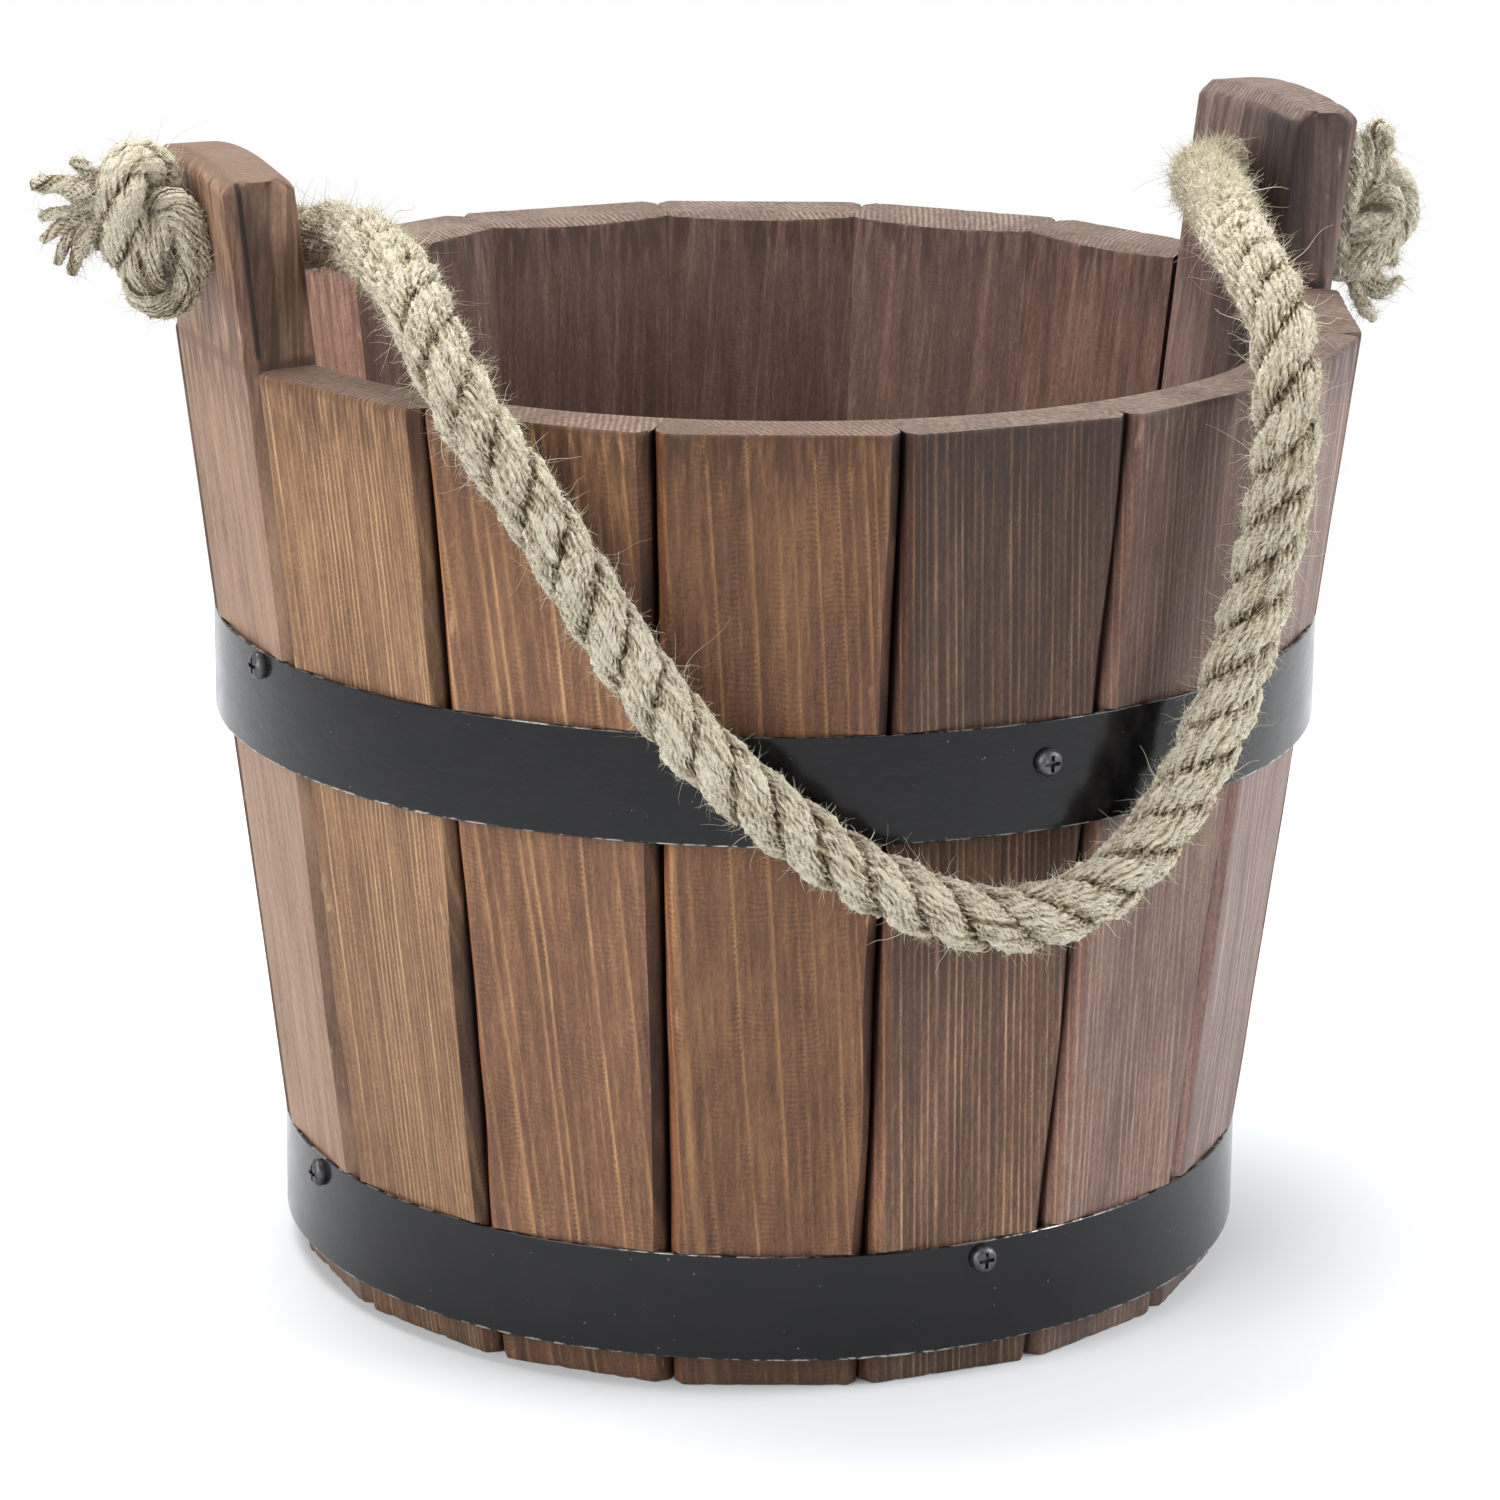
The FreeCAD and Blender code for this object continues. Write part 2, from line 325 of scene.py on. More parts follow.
def staveOutline(z, top, isEar, bumps):
    outer, inner = outerFlat(z), outerFlat(z) - wall
    fromTop = top - z
    chains = {}
    for side in (-1, 1):
        wobble = tub["chamferWobble"] * float(bumps["edge"][side](z))
        chains[side] = chamferChain(outer, tub["chamfer"] + wobble)
    left = [(x, -y) for x, y in chains[-1]]
    right = chains[1][::-1]
    across = np.linspace(left[-1][1], right[0][1], staveGrid["faceColumns"])[1:-1]
    relief = tub["faceWobble"] * (bumps["face"](z + across * 0.4) + bumps["cup"](across))
    face = [(outer + lift, y) for lift, y in zip(relief, across)]
    outerChain = np.array(left + face + right)
    columns = len(outerChain)
    innerEdge = halfWidth(inner)
    spread = np.sin(np.linspace(-math.pi / 2, math.pi / 2, columns))
    innerChain = np.stack([np.full(columns, inner), innerEdge * spread], 1)
    for bottom in hoopBottoms.values():
        if bottom <= z <= bottom + tub["hoopBand"]:
            reach = np.hypot(outerChain[:, 0], outerChain[:, 1])
            outerChain *= np.minimum(1, seatRadius(bottom) / reach)[:, None]
    if isEar:
        bevel = max(0.0, tub["earBevel"] - fromTop)
        outerChain[:, 0] -= bevel
        innerChain[:, 0] += bevel
        turn = tub["earInnerRound"]
        over = np.clip(np.abs(innerChain[:, 1]) - (innerEdge - turn), 0, turn)
        innerChain[:, 0] += turn - np.sqrt(turn ** 2 - over ** 2)
        innerChain[:, 1] *= 1 + (halfWidth(inner + turn) / innerEdge - 1) * over / turn
    else:
        rimInner = outerFlat(top) - tub["rimWidth"] - fromTop / math.tan(math.radians(tub["rimBevel"]))
        reach = np.hypot(innerChain[:, 0], innerChain[:, 1])
        innerChain *= np.maximum(1, rimInner / reach)[:, None]
    torn, places = bumps["chip"], outerChain[:, 1]
    chip = np.clip(torn(places) - chips["rimStart"], 0, 1) * math.exp(-fromTop / chips["rimReach"])
    foot = np.clip(torn(places + chips["footShift"]) - chips["footStart"], 0, 1)
    chip += chips["footShare"] * foot * math.exp(-z / chips["footReach"])
    soft = chips["soft"] * (math.exp(-fromTop / chips["softRim"]) + math.exp(-z / chips["softFoot"]))
    outerChain[:, 0] -= chips["depth"] * chip + soft
    shares = np.linspace(0, 1, staveGrid["sideRows"] + 2)[1:-1, None]
    rightSide = outerChain[-1] * (1 - shares) + innerChain[-1] * shares
    leftSide = outerChain[0] * (1 - shares) + innerChain[0] * shares
    return outerChain, rightSide, innerChain, leftSide


def staveMesh(top, isEar, seed):
    bumps = {
        "edge": {-1: waves(seed, *staveBumps["edge"]), 1: waves(seed + 1, *staveBumps["edge"])},
        "face": waves(seed + 2, *staveBumps["face"]),
        "cup": waves(seed + 3, *staveBumps["cup"]),
        "chip": waves(seed + 4, *staveBumps["chip"]),
    }
    rings = []
    for z in staveLevels(top):
        outer, right, inner, left = staveOutline(z, top, isEar, bumps)
        ring = np.concatenate([outer, right, inner[::-1], left[::-1]])
        rings.append(np.column_stack([ring, np.full(len(ring), z)]))
    columns, rows, around = len(outer), len(right), len(ring)
    points = np.concatenate(rings)
    if isEar:
        side = halfWidth(outerFlat(top))
        near = np.clip((points[:, 2] - (top - tub["crownReach"])) / tub["crownReach"], 0, 1)
        points[:, 2] -= tub["earCrown"] * (points[:, 1] / side) ** 2 * near
    faces = tubeFaces(len(rings), around)
    extra = []
    for level, flip in ((0, True), (len(rings) - 1, False)):  # a grid of faces closes each end
        start = level * around
        inside = len(points) + len(extra)

        def corner(i, j):
            if j == 0:
                return start + i
            if j == rows + 1:
                return start + 2 * columns + rows - 1 - i
            if i == columns - 1:
                return start + columns + j - 1
            if i == 0:
                return start + 2 * columns + 2 * rows - j
            return inside + (j - 1) * (columns - 2) + i - 1
        for j in range(1, rows + 1):
            share = j / (rows + 1)
            for i in range(1, columns - 1):
                extra.append(points[corner(i, 0)] * (1 - share) + points[corner(i, rows + 1)] * share)
        for j in range(rows + 1):
            for i in range(columns - 1):
                quad = (corner(i, j), corner(i, j + 1), corner(i + 1, j + 1), corner(i + 1, j))
                faces.append(quad if flip else quad[::-1])
    return np.concatenate([points, np.array(extra)]), faces


woodTones = {  # dark, middle, light and pale stain of each look
    "honey": (rgb(92, 67, 52), rgb(148, 118, 97), rgb(182, 152, 126), rgb(208, 183, 158)),
    "golden": (rgb(80, 54, 37), rgb(130, 96, 70), rgb(176, 139, 102), rgb(204, 171, 132)),
    "brown": (rgb(68, 45, 32), rgb(113, 79, 58), rgb(158, 118, 83), rgb(190, 152, 114)),
    "red": (rgb(62, 40, 28), rgb(104, 72, 52), rgb(144, 106, 73), rgb(178, 140, 104)),
    "dark": (rgb(42, 29, 22), rgb(71, 51, 40), rgb(114, 87, 67), rgb(150, 122, 95)),
    "plum": (rgb(58, 43, 37), rgb(90, 70, 61), rgb(130, 107, 95), rgb(162, 139, 125)),
    "ash": (rgb(54, 43, 40), rgb(86, 71, 66), rgb(122, 104, 97), rgb(152, 135, 128)),
    "inner": (rgb(52, 36, 29), rgb(88, 64, 53), rgb(118, 90, 74), rgb(150, 120, 100)),
}
plainLook = {
    "tone": "plum",
    "pitch": 0.0028,  # spacing of the growth lines
    "drift": 0.01,  # how they lean
    "bunch": 0.1,  # how they crowd towards the stave's edges
    "chatter": 0.3,  # strength of the planer's marks
    "lines": 0.28,  # strength of the growth lines
    "low": 1.0,  # brightness at the base, partly the board's own tone and partly painted light and shade
    "high": 1.0,  # and at the rim, the same
    "sideOut": 1.0,  # painted shade: brightness of an ear's side at its outer edge
    "sideIn": 1.0,  # and at its inner edge
    "cutStain": 0.3,  # how much of the face's colour shows on a cut end
    "cutShade": 1.0,  # brightness of a cut end
    "farSlit": 1.0,  # painted shade in the slit on the far side
    "nearShade": 1.0,  # painted shade on the near chamfer and in its slit
    "innerNear": 1.0,  # painted light and shade: brightness of the inner face at its near edge
    "innerFar": 1.0,  # and at its far edge
}
staveLooks = {  # what differs from the plain look, stave by stave
    "stave_01": {"low": 1.5, "high": 1.5, "drift": -0.01},
    "stave_02": {"low": 1.4, "high": 1.4, "pitch": 0.0034},
    "stave_03": {"low": 1.15, "high": 1.15, "drift": 0.02},
    "stave_05": {"low": 1.2, "high": 1.2, "drift": -0.015},
    # painted light on stave_06's inner face, seen behind the left ear
    "stave_06": {"low": 0.85, "high": 0.85, "pitch": 0.0035, "innerNear": 4.2, "innerFar": 4.2},
    "stave_07": {"low": 1.15, "high": 1.15, "drift": 0.015, "nearShade": 0.1},
    "stave_08": {"tone": "golden", "pitch": 0.0016, "drift": -0.03, "bunch": 0.2, "chatter": 0.5,
                 "lines": 0.95, "low": 0.82, "high": 0.95, "cutShade": 0.72},
    "stave_09": {"tone": "brown", "pitch": 0.0034, "drift": 0.012, "bunch": 0.2, "chatter": 0.8,
                 "lines": 0.85, "cutShade": 0.85},
    "stave_10": {"tone": "red", "pitch": 0.0031, "drift": 0.006, "chatter": 1.0,
                 "lines": 0.7, "high": 0.93, "cutShade": 0.85},
    "stave_11": {"tone": "dark", "pitch": 0.0020, "drift": 0.012, "bunch": 0.05,
                 "lines": 0.95, "low": 1.55, "high": 0.6},
    "stave_12": {"pitch": 0.0019, "drift": 0.03, "chatter": 0.25, "lines": 0.6, "low": 1.5},
    # painted sheen: stave_13 is drawn brighter for the white surroundings it reflects at a grazing angle
    "stave_13": {"tone": "ash", "pitch": 0.0032, "drift": 0.02, "chatter": 0.25,
                 "lines": 0.6, "low": 1.75, "high": 1.75},
    # painted shade on the left ear's side and chamfer, less painted shade in its slits
    "ear_stave_left": {"tone": "honey", "pitch": 0.005, "bunch": 0.0, "chatter": 0.1,
                       "lines": 0.3, "low": 0.97, "sideOut": 0.55, "sideIn": 1.45,
                       "cutStain": 0.6, "cutShade": 0.68, "farSlit": 0.15, "nearShade": 0.55},
    # painted shadow of the rope on the right ear's inner face near its front edge, painted light towards the
    # back, painted shade across its side
    "ear_stave_right": {"tone": "ash", "pitch": 0.005, "drift": 0.0, "bunch": 0.0, "chatter": 0.1,
                        "lines": 0.3, "sideOut": 0.66, "sideIn": 0.2,
                        "innerNear": 0.36, "innerFar": 1.95},
}
grain = {
    "noises": {  # size across, along the face and up, shift of the seed, detail
        "wander": ((0.06, 0.035, 0.22), 0, 2.0),
        "fibre": ((0.0009, 0.0009, 0.03), 3, 3.0),
        "fine": ((0.0005, 0.0005, 0.0018), 5, 2.0),
        "blotch": ((0.03, 0.016, 0.045), 7, 3.0),
        "bend": ((0.02, 0.008, 0.011), 9, 1.0),
        "patch": ((0.02, 0.006, 0.02), 11, 3.0),
        "rub": ((0.003, 0.003, 0.011), 13, 2.0),
        "pores": ((0.002, 0.0011, 0.002), 15, 3.0),
        "torn": ((0.0022, 0.0022, 0.03), 17, 2.0),
        "come": ((0.02, 0.004, 0.05), 23, 2.0),
        "streak": ((0.006, 0.0035, 0.12), 25, 2.0),
    },
    "toneStart": -0.29,
    "toneWeights": {"fibre": 0.36, "fine": 0.36, "streak": 0.42, "blotch": 0.3},
    "lineWeight": 0.52,
    "chatterWeight": 0.055,
    "wander": 0.0035,  # how far a growth line strays sideways
    "bunchWidth": 0.03,
    "spacing": ((0.008, 1.0, 1.0), 21, 1.0),  # noise that spaces the lines unevenly
    "spacingWeight": 2.6,
    "lineProfile": ((0, 0.0), (0.45, 0.08), (0.6, 0.6), (0.72, 1.0), (0.82, 0.75), (0.92, 0.0)),
    "ripple": 0.0014,  # step of the planer's marks
    "rippleBend": 0.0052,
    "jag": 0.00022,  # how far the ripple shifts a growth line
    "sawStep": 0.0016,
    "sawBend": 0.0012,
    "endGrain": (rgb(72, 58, 50), rgb(112, 95, 84), rgb(152, 134, 121)),
    "footShade": 0.55,  # painted shade below the lower hoop
    "footSlit": 0.2,  # and how much of the slits' painted shade is left there
    # painted shade and light: chamfers facing away from the light and towards it, the ears' chamfers, the
    # slits and creases
    "shadeSide": (0.15, 0.125, 0.115, 1),
    "lightSide": (1.55, 1.38, 1.28, 1),
    "earChamferShade": (0.52, 0.45, 0.43, 1),
    "creaseShade": (0.16, 0.12, 0.11, 1),
    # a slightly warmer, darker tint on the inner faces
    "insideTint": (1.02, 0.96, 0.93, 1),
    "specular": 0.3,
}


def turnedBack(vector, axis, angle):
    settings = {"Vector": vector, "Angle": angle}
    return addNode(treeOf(vector), "VectorRotate", settings, rotation_type=axis).outputs[0]


def woodMaterial(name, look, turn, seed, along="Z"):
    material, tree, shader = newMaterial(name)
    dark, middle, light, pale = woodTones[look["tone"]]
    rim = tub["height"]
    coords = addNode(tree, "TexCoord")
    local, normal = coords.outputs["Object"], coords.outputs["Normal"]
    turns = [("Y_AXIS", math.pi / 2)] if along == "X" else []
    for axis, angle in turns + [("Z_AXIS", -turn)]:
        local = turnedBack(local, axis, angle)
        normal = turnedBack(normal, axis, angle)
    x, y, z = splitAxes(local)
    facing, sideways, upward = splitAxes(normal)
    sidewaysSize = calc("ABSOLUTE", sideways)
    noise = allNoises((x, y, z), grain["noises"], seed)
    fibre, fine, blotch, pores = noise["fibre"], noise["fine"], noise["blotch"], noise["pores"]

    # the planer's ripple
    beat = weighted(z, (noise["bend"], grain["rippleBend"]))
    ripple = calc("SINE", times(beat, 2 * math.pi / grain["ripple"]))
    chatter = times(ripple, times(fade(noise["patch"], 0.42, 0.66), look["chatter"]))

    # growth lines: thin and light, nearly straight, unevenly spaced, jagged where the planer chattered
    wander = calc("SUBTRACT", noise["wander"], 0.5)
    place = weighted(y, (z, look["drift"]), (wander, grain["wander"]),
                     (times(y, y), look["bunch"] / grain["bunchWidth"]), (x, 0.5), (chatter, grain["jag"]))
    spacingSizes, spacingShift, spacingDetail = grain["spacing"]
    spacing = grainNoise((place, 0.0, 0.0), spacingSizes, seed + spacingShift, spacingDetail)
    ring = weighted(seed, (spacing, grain["spacingWeight"]), (place, 1 / look["pitch"]))
    ringNumber = calc("FLOOR", ring)
    chance = addNode(tree, "TexWhiteNoise", {"W": ringNumber}, noise_dimensions="1D").outputs["Value"]
    profile = ramp(calc("FRACT", ring), grain["lineProfile"], "EASE")
    lines = times(profile, fade(chance, 0.0, 1.0, 0.25, 1.0),
                  fade(noise["come"], 0.28, 0.62, 0.35, 1.0))

    # stain along the fibres; brightness from base to rim, partly painted light and shade; painted shade at
    # the feet
    stains = [(noise[key], weight) for key, weight in grain["toneWeights"].items()]
    tone = weighted(grain["toneStart"], (lines, grain["lineWeight"] * look["lines"]), *stains,
                    (chatter, grain["chatterWeight"]))
    colour = ramp(tone, [(0.18, dark), (0.45, middle), (0.78, light), (1.0, pale)])
    brightness = times(fade(z, 0.03, rim, look["low"], look["high"]),
                       fade(z, 0.012, 0.03, grain["footShade"], 1.0))
    colour = mixed(1.0, colour, brightness, "MULTIPLY")

    # worn light spots near the long edges, torn dark fibres under the rim
    flare = math.tan(halfPitch)
    width = weighted(tub["baseFlat"] * flare, (z, taper * flare))
    edge = calc("DIVIDE", calc("ABSOLUTE", y), width)
    rub = times(fade(noise["rub"], 0.64, 0.76), fade(edge, 0.7, 0.88, 0.03, 0.55))
    colour = mixed(rub, colour, pale)
    torn = times(fade(noise["torn"], 0.42, 0.6), fade(z, rim - 0.026, rim - 0.001, 0.0, 0.75))
    brow = times(fade(z, rim - 0.0028, rim - 0.0006, 0.0, 0.5), fade(z, rim + 0.003, rim + 0.001))
    colour = mixed(calc("MAXIMUM", torn, brow), colour, dark)

    # painted shade on the chamfers facing away from the light and in the slits, painted light on the
    # chamfers facing it; less shade at the feet
    depth = calc("SUBTRACT", weighted(tub["baseFlat"], (z, taper)), x)
    plain = colour
    foot = fade(z, 0.014, 0.022, grain["footSlit"], 1.0)
    uneven = times(fade(blotch, 0.3, 0.7, 1.0, 0.55), foot)
    shaded = times(fade(sideways, 0.35, 0.62, 0.0, look["nearShade"]), uneven)
    colour = paintLight(shaded, colour, grain["shadeSide"])
    colour = paintLight(fade(sideways, -0.35, -0.62), colour, grain["lightSide"])
    slit = times(fade(depth, tub["chamfer"] * 0.72, tub["chamfer"] * 1.15),
                 fade(sidewaysSize, 0.3, 0.5), fade(z, rim + 0.001, rim + 0.004, 1.0, 0.0),
                 fade(sideways, -0.1, 0.1, look["farSlit"], look["nearShade"]), foot)
    colour = paintLight(slit, colour, grain["creaseShade"])

    # ears: painted shade on the chamfer and a painted shade line along its crease, painted shade across the
    # sides; then the inner faces: a warmer tint, and painted light and shade across them
    above = fade(z, rim + 0.001, rim + 0.004)
    onChamfer = times(fade(sideways, 0.35, 0.62), fade(sideways, 0.95, 0.8), above)
    colour = mixed(onChamfer, colour, mixed(1.0, plain, grain["earChamferShade"], "MULTIPLY"))
    # painted shade line along the crease between the ear's chamfer and its side
    away = calc("ABSOLUTE", calc("SUBTRACT", depth, tub["chamfer"]))
    shadeLine = times(fade(away, 0.0009, 0.0003), fade(sideways, 0.3, 0.5), above)
    colour = paintLight(shadeLine, colour, grain["creaseShade"])
    flank = fade(depth, 0.0045, 0.019, look["sideOut"], look["sideIn"])
    # painted shade across the ears' sides, from the outer edge to the inner
    colour = paintLight(times(above, fade(sidewaysSize, 0.75, 0.95)), colour, flank)
    inside = fade(facing, -0.2, -0.7)
    colour = paintLight(inside, colour, grain["insideTint"])
    # painted light and shade across the inner faces, from the near edge to the far edge
    colour = paintLight(inside, colour, fade(y, -0.026, 0.022, look["innerNear"], look["innerFar"]))

    # end grain on the rim and the feet: greyer, with slanted saw marks
    slant = weighted(0.0, (x, -0.35), (y, 0.94), (noise["bend"], grain["sawBend"]))
    saw = calc("SINE", times(slant, 2 * math.pi / grain["sawStep"]))
    saw = times(saw, fade(blotch, 0.3, 0.7, 0.2, 1.0))
    cutTone = weighted(-0.2, (pores, 0.9), (blotch, 0.5), (saw, 0.2))
    cutColour = ramp(cutTone, list(zip((0.25, 0.52, 0.8), grain["endGrain"])))
    cutColour = mixed(look["cutStain"], cutColour, middle)
    cutColour = mixed(1.0, cutColour, (look["cutShade"],) * 3 + (1,), "MULTIPLY")
    isEnd = fade(calc("ABSOLUTE", upward), 0.45, 0.8)

    feedAll(shader, {
        "Base Color": mixed(isEnd, colour, cutColour),
        "Roughness": calc("MAXIMUM", weighted(0.45, (fibre, 0.25)), times(isEnd, 0.75)),
        "Specular IOR Level": grain["specular"],
    })
    height = weighted(times(lines, 0.4), (fibre, 0.8), (fine, 0.4), (chatter, 0.13))
    height = mixed(isEnd, height, weighted(pores, (saw, 0.3)))
    addBump(shader, height, 0.5, 0.0003)
    return material


def cutHole(piece, side):
    length, sides = 0.08, 64
    turn = np.linspace(0, 2 * math.pi, sides, endpoint=False)
    circle = np.column_stack([np.zeros(sides), np.cos(turn), np.sin(turn)]) * tub["earHole"]
    circle[:, 2] += tub["earHoleHeight"]
    middle = side * (outerFlat(tub["earHoleHeight"]) - wall / 2)
    points = np.concatenate([circle + (middle - length / 2, 0, 0), circle + (middle + length / 2, 0, 0)])
    faces = tubeFaces(2, sides) + [tuple(range(sides))[::-1], tuple(range(sides, 2 * sides))]
    drill = addMesh("drill", points, faces)
    bore = piece.modifiers.new("ropeHole", "BOOLEAN")
    bore.object = drill
    bore.solver = "EXACT"
    bpy.context.view_layer.update()
    seen = piece.evaluated_get(bpy.context.evaluated_depsgraph_get())
    drilled = bpy.data.meshes.new_from_object(seen)
    piece.modifiers.clear()
    piece.data = drilled
    smooth(drilled, 40)
    bpy.data.objects.remove(drill)


def makeStaves():
    plain = 0
    for place in range(tub["staves"]):
        angle = place * 2 * halfPitch
        isEar = place in (0, tub["staves"] // 2)
        plain += 0 if isEar else 1
        node = ("ear_stave_right" if place == 0 else "ear_stave_left") if isEar else f"stave_{plain:02d}"
        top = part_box(node)[1].z
        points, faces = staveMesh(top, isEar, 100 + 10 * place)
        spin = np.array(Matrix.Rotation(angle, 3, "Z"))
        look = {**plainLook, **staveLooks.get(node, {})}
        material = woodMaterial(f"stain_{node}", look, angle, 3.7 * place + 1.3)
        piece = addPiece(f"{node}_wood", points @ spin.T, faces, material, "tub")
        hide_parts(node)
        if isEar:
            cutHole(piece, 1 if place == 0 else -1)
    floorLook = {**plainLook, "tone": "inner", "lines": 0.5}
    for number in range(1, 5):
        material = woodMaterial(f"stain_floor_{number}", floorLook, 0.0, 91.0 + number, "X")
        coatNode(f"floor_board_{number}", material)


makeStaves()
print("staves made")


# Hoops: painted steel strip, lapped at the back

hoopLook = {
    "thickness": 0.0012,
    "fit": 0.00005,
    "lapLength": 0.036,
    "jogLength": 0.008,
    "lapAngle": {"hoop_upper": 95.0, "hoop_lower": 92.7},  # middle of the lap, degrees
    "steps": 400,
    "edgeRound": 0.00035,
    "cornerSteps": 4,
    "rows": (0.996, 0.97, 0.6, 0.0, -0.6, -0.97, -0.996),  # on the strip's faces, close to the corners
    "dents": 0.00022,
    "dentWaves": (6, 0.25, 1.4),
    "edgeWave": 0.00025,
    "edgeWaves": (6, 0.2, 1.1),
    "endReach": 0.3,  # no dents this near the strip's ends, radians
    "paint": rgb(11, 11, 14),
    "dustyPaint": rgb(17, 16, 20),
    "bare": rgb(168, 164, 158),
    "rough": (0.12, 0.22),
    "specular": 0.32,
    "noises": {
        "cloud": ((0.012, 0.012, 0.008), 90, 4.0),
        "speck": ((0.0011, 0.0011, 0.0011), 50, 1.0),
        "orange": ((0.0016, 0.0016, 0.0016), 70, 2.0),
        "chip": ((0.0035, 0.0035, 0.0012), 33, 3.0),
    },
}
screwLook = {
    "tones": (rgb(58, 57, 60), rgb(92, 91, 93), rgb(140, 138, 136)),
    "stops": (0.3, 0.6, 0.8),
    "metallic": 0.85,
    "rough": (0.3, 0.5),
    "noises": {
        "cloud": ((0.0015, 0.0015, 0.0015), 4, 4.0),
        "fine": ((0.0003, 0.0003, 0.0003), 8, 2.0),
    },
}


def paintMaterial(name, bottom):
    material, tree, shader = newMaterial(name)
    x, y, z = localPlace(tree)
    noise = allNoises((x, y, z), hoopLook["noises"], spread=bottom)
    cloud = noise["cloud"]
    up = calc("SUBTRACT", z, bottom)
    toEdge = calc("MINIMUM", up, calc("SUBTRACT", tub["hoopBand"], up))
    atEdge = calc("MAXIMUM", fade(toEdge, 0.0005, 0.0002), fade(up, 0.0009, 0.0005))
    worn = times(fade(noise["chip"], 0.44, 0.6), atEdge)
    dot = times(fade(noise["speck"], 0.78, 0.82), 0.5)
    bare = calc("MAXIMUM", worn, dot)
    colour = mixed(fade(cloud, 0.3, 0.75), hoopLook["paint"], hoopLook["dustyPaint"])
    feedAll(shader, {
        "Base Color": mixed(bare, colour, hoopLook["bare"]),
        "Roughness": fade(cloud, 0.2, 0.8, *hoopLook["rough"]),
        "Specular IOR Level": hoopLook["specular"],
        "Metallic": times(bare, 0.8),
    })
    lift = weighted(times(noise["orange"], 0.3), (cloud, 1.5), (bare, -0.4))
    addBump(shader, lift, 0.25, 0.0003)
    return material


def stripSection(thickness, width, corner):
    points = []
    turns = np.linspace(0, math.pi / 2, hoopLook["cornerSteps"])
    x, y = thickness / 2 - corner, width / 2 - corner
    for quarter, (out, up) in enumerate(((x, y), (-x, y), (-x, -y), (x, -y))):
        for turn in turns + quarter * math.pi / 2:
            points.append((out + corner * math.cos(turn), up + corner * math.sin(turn)))
        if quarter % 2:
            side = -1 if quarter == 1 else 1
            points += [(side * thickness / 2, -side * share * y) for share in hoopLook["rows"]]
    return np.array(points)


def makeHoop(node, seed):
    low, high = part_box(node)
    bottom = low.z
    inner = seatRadius(bottom) + hoopLook["fit"]
    thick = hoopLook["thickness"]
    lap, jog = hoopLook["lapLength"] / inner, hoopLook["jogLength"] / inner
    start = math.radians(hoopLook["lapAngle"][node]) - lap / 2
    turns = np.linspace(start, start + 2 * math.pi + lap, hoopLook["steps"])
    climb = np.clip((turns - (start + 2 * math.pi - jog)) / jog, 0, 1)
    climb = climb * climb * (3 - 2 * climb)
    dent, wave = waves(seed, *hoopLook["dentWaves"]), waves(seed + 1, *hoopLook["edgeWaves"])
    reach = hoopLook["endReach"]
    free = 1 - np.exp(-((turns - turns[-1]) / reach) ** 2) - np.exp(-((turns - turns[0]) / reach) ** 2)
    middle = inner + thick / 2 + climb * (thick + hoopLook["fit"])
    middle += hoopLook["dents"] * np.clip(dent(turns), 0, 1) * free
    section = stripSection(thick, high.z - low.z - 2 * hoopLook["edgeWave"], hoopLook["edgeRound"])
    radius = middle[:, None] + section[None, :, 0]
    height = (low.z + high.z) / 2 + section[None, :, 1] + hoopLook["edgeWave"] * wave(turns)[:, None]
    points = np.stack([radius * np.cos(turns)[:, None], radius * np.sin(turns)[:, None], height], 2)
    count, around = points.shape[:2]
    faces = [(a, d, c, b) for a, b, c, d in tubeFaces(count, around)]
    faces += [tuple(range(around)), tuple(range((count - 1) * around, count * around))[::-1]]
    piece = addPiece(f"{node}_strip", points.reshape(-1, 3), faces, paintMaterial(f"paint_{node}", bottom),
                     "tub", 50)
    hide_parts(node)


def screwMaterial():
    material, tree, shader = newMaterial("dark_screw_steel")
    noise = allNoises(localPlace(tree), screwLook["noises"])
    feedAll(shader, {
        "Base Color": ramp(noise["cloud"], list(zip(screwLook["stops"], screwLook["tones"]))),
        "Metallic": screwLook["metallic"],
        "Roughness": fade(noise["cloud"], 0.2, 0.8, *screwLook["rough"]),
    })
    addBump(shader, noise["fine"], 0.2, 0.0001)
    return material


makeHoop("hoop_upper", 31)
makeHoop("hoop_lower", 47)
screwSteel = screwMaterial()
for name in ("hoop_screws_upper", "hoop_screws_lower"):
    coatNode(name, screwSteel)
print("hoops and screws made")


# Rope: three strands of jute, from ear to ear over the front rim

